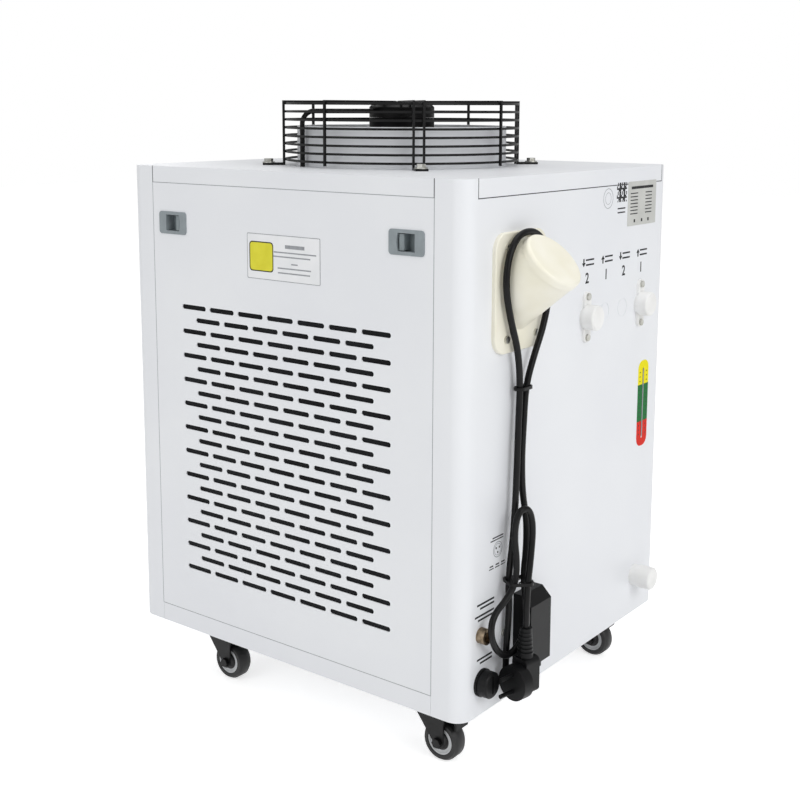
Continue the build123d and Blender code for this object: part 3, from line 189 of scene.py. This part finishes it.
def gauzeMaterial():
    material, tree, shader, place = startMaterial("nylonGauze", "0c0d0e", 0.6, sheen=0.12)
    split = addNode(tree, "ShaderNodeSeparateXYZ", {0: place})
    ridges = []
    for axis in ("Y", "Z"):
        turn = addNode(tree, "ShaderNodeMath", {0: split.outputs[axis], 1: 2 * math.pi / gauzePitch},
                       operation="MULTIPLY")
        wave = addNode(tree, "ShaderNodeMath", {0: turn.outputs[0]}, operation="SINE")
        ridges.append(wave.outputs[0])
    weave = addNode(tree, "ShaderNodeMath", {0: ridges[0], 1: ridges[1]}, operation="MAXIMUM")
    thread = addNode(tree, "ShaderNodeMapRange", {
        "Value": weave.outputs[0], "From Min": 0.55, "From Max": 0.95, "To Min": 0.0, "To Max": 1.0})
    patches = addNode(tree, "ShaderNodeTexNoise", {"Vector": place, "Scale": 1 / (70 * mm), "Detail": 1.0})
    dust = addNode(tree, "ShaderNodeMapRange", {
        "Value": patches.outputs[0], "From Min": 0.4, "From Max": 0.65, "To Min": 0.2, "To Max": 1.0})
    shown = addNode(tree, "ShaderNodeMath", {0: thread.outputs[0], 1: dust.outputs[0]}, operation="MULTIPLY")
    tree.links.new(blendColours(tree, shown.outputs[0], "020203", "24272b"), shader.inputs["Base Color"])
    bump = addNode(tree, "ShaderNodeBump", {
        "Height": weave.outputs[0], "Strength": 0.5, "Distance": 0.3 * mm})
    tree.links.new(bump.outputs[0], shader.inputs["Normal"])
    return material


# A caster wheel: black rubber tread, a pale grey ring round the hub, a black centre
hubRing = {"outer": 16.2, "inner": 11.2}


def wheelMaterial(name, axle):
    material, tree, shader, place = startMaterial(name, "151516", 0.5)
    offset = addNode(tree, "ShaderNodeVectorMath", {0: place, 1: axle}, operation="SUBTRACT")
    flat = addNode(tree, "ShaderNodeVectorMath", {0: offset.outputs[0], 1: (0, 1, 1)}, operation="MULTIPLY")
    reach = addNode(tree, "ShaderNodeVectorMath", {0: flat.outputs[0]}, operation="LENGTH")
    outer = addNode(tree, "ShaderNodeMath", {0: reach.outputs["Value"], 1: hubRing["outer"] * mm},
                    operation="LESS_THAN")
    inner = addNode(tree, "ShaderNodeMath", {0: reach.outputs["Value"], 1: hubRing["inner"] * mm},
                    operation="GREATER_THAN")
    ring = addNode(tree, "ShaderNodeMath", {0: outer.outputs[0], 1: inner.outputs[0]}, operation="MULTIPLY")
    bump = addGrain(tree, shader, place, dict(roughness=0.5, grain=0.6, bump=0.05, cloud=8))
    bump.inputs["Strength"].default_value = 0.3
    tree.links.new(blendColours(tree, ring.outputs[0], "0c0c0d", "c8cacc"), shader.inputs["Base Color"])
    return material


# The gauge's printed film: yellow above, green, then red below
gaugeFilm = {"x": -180, "low": 229.7, "high": 345.5, "width": 29, "redTop": 263.6, "greenTop": 313.5}


def gaugeMaterial():
    material, tree, shader, place = startMaterial("gaugeFilm", "e8dc1f", 0.36, sheen=0.06)
    split = addNode(tree, "ShaderNodeSeparateXYZ", {0: place})
    colour = "f0e400"
    for top, below in ((gaugeFilm["greenTop"], "0a6e30"), (gaugeFilm["redTop"], "d8220c")):
        under = addNode(tree, "ShaderNodeMath", {0: split.outputs["Z"], 1: bodyBottom + top * mm},
                        operation="LESS_THAN")
        colour = blendColours(tree, under.outputs[0], colour, below)
    tree.links.new(colour, shader.inputs["Base Color"])
    addGrain(tree, shader, place, dict(roughness=0.36, grain=0.9, bump=0.01))
    return material


# Clear acrylic of the level tube
def clearMaterial():
    material, tree, shader, place = startMaterial("clearAcrylic", "dfe8ea", 0.08, ior=1.49)
    shader.inputs["Transmission Weight"].default_value = 0.85
    addGrain(tree, shader, place, dict(roughness=0.1, grain=3.0, bump=0.01))
    return material


made["nylonGauze"] = gauzeMaterial()
made["gaugeFilm"] = gaugeMaterial()
made["clearAcrylic"] = clearMaterial()

# Which finish each carried-over part gets
finishes = {
    "whitePowderCoat": ["base_pan", "lid", "front_panel", "rear_panel", "plain_panel", "grille_panel",
                        "fan_shroud"],
    "zincPlatedSteel": ["hex_bolts", "pan_screws"],
    "blackPowderCoat": ["fan_guard", "caster_plates", "front_left_fork", "front_right_fork", "rear_left_fork",
                        "rear_right_fork", "compressor", "fan_motor"],
    "blackNylon": ["impeller", "rear_left_pedal", "rear_right_pedal", "fuse_cap", "fuse_holder", "power_hood",
                   "plug", "switch_frame", "switch_rocker", "controller"],
    "ivoryAbs": ["filler_neck", "filler_cap"],
    "whitePolypropylene": ["port_bodies", "port_cap_left", "port_cap_right", "drain_port", "drain_cap"],
    "greyAbs": ["latch_bezels"],
    "paleGreyAbs": ["front_latch_slide", "rear_latch_slide"],
    "nylonGauze": ["dust_filter"],
    "dullBrass": ["alarm_connector"],
    "cordPvc": ["power_cord", "fan_cable"],
    "tieNylon": ["cord_ties"],
    "keySilicone": ["controller_key_1", "controller_key_2", "controller_key_3", "controller_key_4"],
    "clearAcrylic": ["level_gauge"],
    "aluminiumFins": ["condenser"],
    "copperPipe": ["refrigerant_pipes"],
    "stainlessSteel": ["evaporator", "water_tank"],
    "galvanisedSheet": ["tank_stand", "electrical_box"],
    "pumpPaint": ["pump"],
    "hoseRubber": ["water_hoses"],
    "mountRubber": ["compressor_mounts"],
}


def dress(node, material):
    node.data.materials.clear()
    node.data.materials.append(material)


# Rounds the shading of a carried-over part and keeps its real corners sharp
def smoothNode(node, corner):
    for face in node.data.polygons:
        face.use_smooth = True
    weld = node.modifiers.new("weld", "WELD")
    weld.merge_threshold = 0.02 * mm
    split = node.modifiers.new("corners", "EDGE_SPLIT")
    split.split_angle = math.radians(corner)


for finish, names in finishes.items():
    for name in names:
        dress(nodes[name], made[finish])
for place in ("front_left", "front_right", "rear_left", "rear_right"):
    low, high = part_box(place + "_wheel")
    axle = ((low.x + high.x) / 2, (low.y + high.y) / 2, (low.z + high.z) / 2)
    dress(nodes[place + "_wheel"], wheelMaterial(place + "WheelRubber", axle))
for name, node in nodes.items():
    smoothNode(node, 32)
print("parts dressed")


# The mains cord, along the same route as the solid it takes the place of
cord = {
    "diameter": 7.6,
    "length": 1.5,
    "route": [  # across the rear, out from it, and up from the cabinet's underside, in mm
        (110, 15, 32), (110, 15, 19), (119, 13, 7), (137, 9, 5), (151, 6.9, 16),
        (157, 6.8, 38), (157, 7, 70), (153.5, 8, 110), (156.5, 8, 150), (152, 10.5, 195),
        (149, 11, 240), (147, 11, 285), (144, 10, 330), (142, 10, 370), (150, 11.5, 410),
        (167, 12, 446), (179, 12.2, 483), (174, 12.4, 517), (154, 12, 538.5), (122, 12, 541),
        (99, 12.4, 525), (87, 12.2, 496), (87.5, 12.2, 463), (99, 12.4, 430), (115, 11.5, 402),
        (130, 10, 368), (133, 10, 330), (136, 10, 285), (135, 11, 245), (128, 13, 212),
        (134, 17, 180), (143, 19, 150), (142, 23, 118), (138, 23, 92), (147, 19, 72),
        (166, 16, 62), (185, 15.5, 72), (199, 16, 89), (204, 16, 108), (194, 15, 122),
        (174, 17, 132), (160, 20, 148), (158, 20, 172), (163, 18.5, 206), (160, 22, 232),
        (145, 26, 233), (138, 28, 212), (143, 29, 177), (155, 31.5, 137), (155, 31.5, 97),
    ],
}


def onRear(x, out, up):
    return Vector((x * mm, rearY + out * mm, bodyBottom + up * mm))


def makeCord():
    curve = bpy.data.curves.new("mainsCord", "CURVE")
    curve.dimensions = "3D"
    curve.bevel_depth = cord["diameter"] / 2 * mm
    curve.bevel_resolution = 4
    curve.resolution_u = 8
    curve.use_fill_caps = True
    spline = curve.splines.new("NURBS")
    spline.points.add(len(cord["route"]) - 1)
    for point, (x, out, up) in zip(spline.points, cord["route"]):
        point.co = (*onRear(x, out, up), 1)
    spline.order_u = 3
    spline.use_endpoint_u = True
    curve.materials.append(made["cordPvc"])
    piece = bpy.data.objects.new("mainsCord", curve)
    bpy.context.scene.collection.objects.link(piece)
    return piece


mainsCord = makeCord()
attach(mainsCord, "cabinet")
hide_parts("power_cord")
print("cord laid")


# Small solids made in mesh code, each on the body that carries it
def finishPiece(name, mesh, material, body="cabinet", smooth=0):
    bmesh.ops.recalc_face_normals(mesh, faces=mesh.faces)
    data = bpy.data.meshes.new(name)
    mesh.to_mesh(data)
    mesh.free()
    for face in data.polygons:
        face.use_smooth = smooth > 0
    if smooth:
        data.set_sharp_from_angle(angle=math.radians(smooth))
    data.materials.append(made[material])
    piece = bpy.data.objects.new(name, data)
    bpy.context.scene.collection.objects.link(piece)
    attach(piece, body)
    return piece


# The rear's own plane: x to the left as one looks at it, up, and out of the sheet
rearFace = Matrix(((-1, 0, 0, 0), (0, 0, 1, rearY), (0, 1, 0, bodyBottom), (0, 0, 0, 1)))
# The air inlet side's plane: y to the right as one looks at it, up, and out of the sheet
inletFace = Matrix(((0, 0, 1, sideX), (1, 0, 0, bodyMidY), (0, 1, 0, bodyBottom), (0, 0, 0, 1)))


# A flat printed shape: an outline of corners in mm, a hair thick, laid on a face
def addOutline(mesh, corners, low, high):
    ring = [mesh.verts.new((x * mm, up * mm, low * mm)) for x, up in corners]
    face = mesh.faces.new(ring)
    grown = bmesh.ops.extrude_face_region(mesh, geom=[face])
    top = [v for v in grown["geom"] if isinstance(v, bmesh.types.BMVert)]
    bmesh.ops.translate(mesh, verts=top, vec=(0, 0, (high - low) * mm))


def bar(x, up, width, height):
    return [(x - width / 2, up - height / 2), (x + width / 2, up - height / 2),
            (x + width / 2, up + height / 2), (x - width / 2, up + height / 2)]


def roundedBar(x, up, width, height, radius):
    corners = []
    for turn, (sx, sy) in enumerate(((1, 1), (-1, 1), (-1, -1), (1, -1))):
        for step in range(5):
            angle = math.pi / 2 * (turn + step / 4)
            corners.append((x + sx * (width / 2 - radius) + radius * math.cos(angle),
                            up + sy * (height / 2 - radius) + radius * math.sin(angle)))
    return corners


def disc(x, up, radius, steps=32):
    return [(x + radius * math.cos(2 * math.pi * i / steps), up + radius * math.sin(2 * math.pi * i / steps))
            for i in range(steps)]


def arrow(x, up, height, direction):
    half, neck = height / 2, height / 7
    shape = [(-neck, -half), (neck, -half), (neck, 0), (3 * neck, 0), (0, half), (-3 * neck, 0), (-neck, 0)]
    return [(x + dx, up + direction * dz) for dx, dz in shape]


def printShapes(name, shapes, material, face, low=0.0, high=0.12, body="cabinet"):
    mesh = bmesh.new()
    for corners in shapes:
        addOutline(mesh, corners, low, high)
    bmesh.ops.transform(mesh, matrix=face, verts=mesh.verts)
    return finishPiece(name, mesh, material, body)


# A thin ring, as an outline printed round a circle or a plate
def printRing(name, rings, material, face, high=0.12, body="cabinet"):
    mesh = bmesh.new()
    for outer, inner in rings:
        loops = []
        for corners in (outer, inner):
            points = [mesh.verts.new((x * mm, up * mm, 0)) for x, up in corners]
            loops.append([mesh.edges.new((points[i], points[i - 1])) for i in range(len(points))])
        band = bmesh.ops.bridge_loops(mesh, edges=loops[0] + loops[1])
        grown = bmesh.ops.extrude_face_region(mesh, geom=band["faces"])
        top = [v for v in grown["geom"] if isinstance(v, bmesh.types.BMVert)]
        bmesh.ops.translate(mesh, verts=top, vec=(0, 0, high * mm))
    bmesh.ops.transform(mesh, matrix=face, verts=mesh.verts)
    return finishPiece(name, mesh, material, body)


# Generic numbers over the ports
def printNumber(name, digit, x, up, height, face):
    letter = bpy.data.curves.new(name, "FONT")
    letter.body = digit
    letter.size = height * 1.38 * mm
    letter.align_x = "CENTER"
    letter.extrude = 0.06 * mm
    letter.offset = 0.35 * mm
    holder = bpy.data.objects.new(name + "Curve", letter)
    bpy.context.scene.collection.objects.link(holder)
    data = bpy.data.meshes.new_from_object(holder.evaluated_get(bpy.context.evaluated_depsgraph_get()))
    bpy.data.objects.remove(holder)
    data.transform(face @ Matrix.Translation((x * mm, (up - height / 2) * mm, 0.06 * mm)))
    data.materials.clear()
    data.materials.append(made["darkInkAndRecessShade"])
    piece = bpy.data.objects.new(name, data)
    bpy.context.scene.collection.objects.link(piece)
    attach(piece, "cabinet")
    return piece


# Painted shade: dark strips laid in the seams between the sheets, standing in for the shade in the gaps; the
# side seams below the lid get a paler grey
seams = {"notch": 214.5, "band": 219, "skirtLow": 579.35, "panTop": 24.15, "top": 600}


def makeSeams():
    rear = [bar(0, seams["skirtLow"], 2 * seams["notch"], 1.1)]
    side = [bar(0, up, 2 * seams["band"], 0.8) for up in (seams["skirtLow"] + 0.25, seams["panTop"] - 0.25)]
    for way in (-1, 1):
        rear.append(bar(way * seams["notch"], (seams["skirtLow"] + seams["top"]) / 2, 1.1,
                        seams["top"] - seams["skirtLow"] + 1.1))
        side.append(bar(way * (seams["band"] + 0.1), (seams["skirtLow"] + seams["panTop"]) / 2, 0.8,
                        seams["skirtLow"] - seams["panTop"]))
    upper = [bar(way * (seams["band"] - 0.15), (seams["skirtLow"] + seams["top"]) / 2, 1.1,
                 seams["top"] - seams["skirtLow"]) for way in (-1, 1)]
    printShapes("rearSeamShade", rear, "paintedSeamShade", rearFace, -0.2, 0.06)
    printShapes("sideSeamShade", side, "paleInkAndSeamShade", inletFace, -0.2, 0.05)
    printShapes("cornerSeamShade", upper, "paintedSeamShade", inletFace, -0.2, 0.06)


makeSeams()


# Marks on the rear sheet. On its own plane x runs the other way, so each place is given as -x.
rearMarks = {"portXs": (21.5, 69, 115, 162.5), "numberUp": 471.5, "numberHigh": 13, "wordUp": 490}
words = []
for index, x in enumerate(rearMarks["portXs"]):
    inward = index % 2 == 0
    words.append(arrow(x - 9, rearMarks["wordUp"], 10, -1 if inward else 1))
    words.append(bar(x + 6, rearMarks["wordUp"] + 3, 20, 2.0))
    words.append(bar(x + 6, rearMarks["wordUp"] - 3, 20, 2.0))
    printNumber("portNumber%d" % (index + 1), "2" if inward else "1", x, rearMarks["numberUp"],
                rearMarks["numberHigh"], rearFace)
for x, up, width in ((-190, 128, 34), (-192, 115, 38), (-191, 64, 30), (-110, 133, 36)):
    words.append(bar(x, up + 2.4, width, 2.2))
    words.append(bar(x + 3, up - 2.4, width - 6, 2.2))
for x in (-179.5, -167.5, -156):
    words.append(bar(x, 168, 7, 1.6))
    words.append(bar(x, 165, 9, 1.2))
words.append(bar(-167, 200, 22, 1.4))
words.append(bar(-169, 197, 26, 1.2))
words += [disc(-167 + dx, 185 + dz, 1.3, 12) for dx, dz in ((-3.2, 2), (3.2, 2), (0, -3.4))]
printShapes("rearMarks", words, "darkInkAndRecessShade", rearFace)
printRing("socketRings", [(disc(-167, 185, outer), disc(-167, 185, inner))
                          for outer, inner in ((9.2, 8.4), (6.9, 6.3))], "paleInkAndSeamShade", rearFace)

# The round mark and the code field beside the rating plate, as plain small shapes
code = []
for row in range(11):
    for column in range(12):
        if (row * row + column * 3 + row * column) % 5 > 1:
            code.append(bar(92.4 + column * 2.2, 559 + row * 2.2, 2.1, 2.1))
code += [bar(104.5, 550, 20, 1.6), bar(104.5, 545, 20, 1.6)]
printShapes("codeField", code, "darkInkAndRecessShade", rearFace)
printRing("roundMark", [(disc(69.5, 564, outer), disc(69.5, 564, inner))
                        for outer, inner in ((12.4, 11.7), (7.4, 6.9))], "paleInkAndSeamShade", rearFace)

# Rating plate: bare grey film with a few plain bars
printShapes("ratingPlate", [roundedBar(160, 554, 78, 56, 1.5)], "greyFilm", rearFace, high=0.25)
plateBars = [bar(160, 574, 60, 3.4)]
for row in range(7):
    plateBars.append(bar(138, 567 - row * 4.3, 20, 1.3))
    plateBars.append(bar(178, 567 - row * 4.3, 18, 1.3))
plateBars += [bar(140, 532, 4, 4), bar(160, 532, 4, 4), bar(178, 532, 4, 4)]
printShapes("ratingBars", plateBars, "darkInkAndRecessShade", rearFace, 0.2, 0.32)

# Gauge film: a long strip with a slit for the tube
gaugeX = -gaugeFilm["x"]
gaugeUp = (gaugeFilm["low"] + gaugeFilm["high"]) / 2
gaugeHigh = gaugeFilm["high"] - gaugeFilm["low"]
printRing("gaugeStrip", [(roundedBar(gaugeX, gaugeUp, gaugeFilm["width"], gaugeHigh, 11.5),
                          roundedBar(gaugeX, gaugeUp, 4, 95, 1.9))], "gaugeFilm", rearFace, 0.25)
printShapes("gaugeTicks", [bar(gaugeX + side * 9, up, 2.6, 1.4) for side in (-1, 1)
                           for up in range(246, 336, 6)], "darkInkAndRecessShade", rearFace, 0.2, 0.3)

# Label on the air inlet panel: white film, a yellow patch and plain bars
label = {"y": 2.5, "up": 499, "width": 115, "high": 54, "rim": 1.4, "patchY": -32}
labelOutline = roundedBar(label["y"], label["up"], label["width"], label["high"], 1.5)
labelInside = roundedBar(label["y"], label["up"], label["width"] - label["rim"],
                         label["high"] - label["rim"], 1.2)
printShapes("inletLabel", [labelOutline], "whiteFilm", inletFace, high=0.15, body="air_inlet_panel")
printRing("inletLabelEdge", [(labelOutline, labelInside)], "paleInkAndSeamShade", inletFace, 0.22, body="air_inlet_panel")
printShapes("inletPatch", [roundedBar(label["patchY"], label["up"], 37, 34, 4)], "yellowFilm", inletFace,
            0.1, 0.26, body="air_inlet_panel")
printRing("inletPatchEdge", [(roundedBar(label["patchY"], label["up"], 38.5, 35.5, 4.4),
                              roundedBar(label["patchY"], label["up"], 36, 33, 3.6))],
          "darkInkAndRecessShade", inletFace, 0.3, body="air_inlet_panel")
labelBars = [bar(21, 513, 30, 4.2)]
labelBars += [bar(y, up, width, 1.5) for y, up, width in (
    (21, 506, 66), (16, 501, 58), (20.5, 493, 10), (20, 487.5, 52), (19.5, 482, 50))]
printShapes("inletLabelBars", labelBars, "paleInkAndSeamShade", inletFace, 0.1, 0.24, body="air_inlet_panel")
print("prints laid")


# Ribs round the plug's strain relief
reliefRibs = {"x": 156, "out": 31.5, "top": 92, "pitch": 4.6, "count": 6, "first": 7.3, "grow": 0.42,
              "thick": 2.2}


def makeRibs():
    mesh = bmesh.new()
    for index in range(reliefRibs["count"]):
        radius = (reliefRibs["first"] + index * reliefRibs["grow"]) * mm
        ring = bmesh.ops.create_cone(mesh, cap_ends=True, segments=32, radius1=radius, radius2=radius,
                                     depth=reliefRibs["thick"] * mm)
        centre = onRear(reliefRibs["x"], reliefRibs["out"], reliefRibs["top"] - index * reliefRibs["pitch"])
        bmesh.ops.translate(mesh, verts=ring["verts"], vec=centre)
    rims = [edge for edge in mesh.edges if abs(edge.verts[0].co.z - edge.verts[1].co.z) < 1e-6]
    bmesh.ops.bevel(mesh, geom=rims, offset=0.5 * mm, segments=2, profile=0.5, affect="EDGES", material=-1)
    return finishPiece("plugReliefRibs", mesh, "blackNylon", smooth=40)


plugRibs = makeRibs()


# Countersunk cross-head screws: a dark cross laid into the heads that the source gives, painted shade
# standing in for the shade inside each cross recess
def makeCrosses(name, places, face, radius, body="cabinet"):
    mesh = bmesh.new()
    for x, up, out, turn in places:
        for quarter in (0, math.pi / 2):
            blade = bmesh.ops.create_cube(mesh, size=1.0)
            bmesh.ops.scale(mesh, vec=(1.5 * radius * mm, 0.32 * radius * mm, 0.25 * mm),
                            verts=blade["verts"])
            bmesh.ops.rotate(mesh, cent=(0, 0, 0), matrix=Matrix.Rotation(turn + quarter, 3, "Z"),
                             verts=blade["verts"])
            bmesh.ops.translate(mesh, vec=(x * mm, up * mm, out * mm), verts=blade["verts"])
    bmesh.ops.transform(mesh, matrix=face, verts=mesh.verts)
    return finishPiece(name, mesh, "darkInkAndRecessShade", body)


fillerScrew = {"x": -134, "up": 474, "across": 30.5, "high": 50.5, "out": 6.2}
portScrew = {"xs": (20, 161), "up": 424, "high": 25, "out": 4.2}
fillerScrews = [(fillerScrew["x"] + sx * fillerScrew["across"], fillerScrew["up"] + sz * fillerScrew["high"],
                 fillerScrew["out"], 0.4 + sx) for sx in (-1, 1) for sz in (-1, 1)]
portScrews = [(x, portScrew["up"] + sz * portScrew["high"], portScrew["out"], 0.6 + sz)
              for x in portScrew["xs"] for sz in (-1, 1)]
makeCrosses("screwCrosses", fillerScrews + portScrews, rearFace, 3.8)

# The camera: its place beside the middle of the cabinet, its turns in degrees and its lens in mm
camera = {"place": (1295.89, 987.07, 673.01), "yaw": 217.463, "pitch": -8.765, "roll": 0.188,
          "lens": 56.1416, "shiftY": -0.125}


def makeCamera():
    data = bpy.data.cameras.new("productCamera")
    data.sensor_width = 36
    data.lens = camera["lens"]
    data.shift_y = camera["shiftY"]
    data.clip_start = 0.05
    data.clip_end = 50
    eye = bpy.data.objects.new("productCamera", data)
    bpy.context.scene.collection.objects.link(eye)
    yaw, pitch, roll = (math.radians(camera[key]) for key in ("yaw", "pitch", "roll"))
    ahead = Vector((math.cos(pitch) * math.cos(yaw), math.cos(pitch) * math.sin(yaw), math.sin(pitch)))
    right = ahead.cross(Vector((0, 0, 1))).normalized()
    up = right.cross(ahead)
    right, up = (right * math.cos(roll) + up * math.sin(roll), up * math.cos(roll) - right * math.sin(roll))
    turn = Matrix((right, up, -ahead)).transposed()
    x, y, z = camera["place"]
    eye.matrix_world = Matrix.Translation((x * mm, bodyMidY + y * mm, bodyBottom + z * mm)) @ turn.to_4x4()
    bpy.context.scene.camera = eye


makeCamera()


# Floor, backdrop and light
# One for rays that should meet a clean white stage: from the camera, mirrored or passing through
def cleanRays(tree):
    rays = addNode(tree, "ShaderNodeLightPath")
    seen = rays.outputs["Is Camera Ray"]
    for kind in ("Is Glossy Ray", "Is Transmission Ray"):
        most = addNode(tree, "ShaderNodeMath", {0: seen, 1: rays.outputs[kind]}, operation="MAXIMUM")
        seen = most.outputs[0]
    return seen


def makeStage():
    material, tree, shader, place = startMaterial("studioPaper", "f2f2f2", 0.6)
    seen = cleanRays(tree)
    glow = addNode(tree, "ShaderNodeEmission", {"Color": (1, 1, 1, 1), "Strength": 0.62})
    both = addNode(tree, "ShaderNodeAddShader", {0: shader.outputs[0], 1: glow.outputs[0]})
    pick = addNode(tree, "ShaderNodeMixShader", {0: seen, 1: shader.outputs[0], 2: both.outputs[0]})
    tree.links.new(pick.outputs[0], tree.nodes["Material Output"].inputs["Surface"])
    mesh = bmesh.new()
    bmesh.ops.create_grid(mesh, x_segments=2, y_segments=2, size=9)
    data = bpy.data.meshes.new("studioFloor")
    mesh.to_mesh(data)
    mesh.free()
    data.materials.append(material)
    floor = bpy.data.objects.new("studioFloor", data)
    bpy.context.scene.collection.objects.link(floor)


def makeWorld():
    world = bpy.data.worlds.new("studio")
    bpy.context.scene.world = world
    world.use_nodes = True
    tree = world.node_tree
    tree.nodes.clear()
    rays = addNode(tree, "ShaderNodeLightPath")
    soft = addNode(tree, "ShaderNodeBackground", {"Color": (1.0, 1.0, 1.0, 1), "Strength": 0.48})
    white = addNode(tree, "ShaderNodeBackground", {"Color": (1.0, 1.0, 1.0, 1), "Strength": 1.0})
    pick = addNode(tree, "ShaderNodeMixShader", {
        0: rays.outputs["Is Camera Ray"], 1: soft.outputs[0], 2: white.outputs[0]})
    addNode(tree, "ShaderNodeOutputWorld", {"Surface": pick.outputs[0]})


def addLamp(name, place, target, size, power):
    data = bpy.data.lights.new(name, "AREA")
    data.shape = "RECTANGLE"
    data.size, data.size_y = size
    data.energy = power
    lamp = bpy.data.objects.new(name, data)
    bpy.context.scene.collection.objects.link(lamp)
    lamp.location = place
    lamp.rotation_euler = (Vector(target) - Vector(place)).to_track_quat("-Z", "Y").to_euler()


lamps = {
    "rearSoftbox": ((0.6, 2.6, 1.7), (0, 0, 0.4), (1.6, 1.6), 29),
    "sideSoftbox": ((2.8, -0.5, 1.6), (0, 0, 0.4), (1.6, 1.6), 17),
    "topSoftbox": ((0.0, 0.2, 3.0), (0, 0, 0.4), (2.0, 2.0), 22),
    "frontFill": ((-1.2, -2.8, 1.8), (0, 0, 0.4), (1.6, 1.6), 12),
}
makeStage()
makeWorld()
for name, (place, target, size, power) in lamps.items():
    addLamp(name, place, target, size, power)
bpy.context.scene.view_settings.view_transform = "Standard"
print("stage lit")
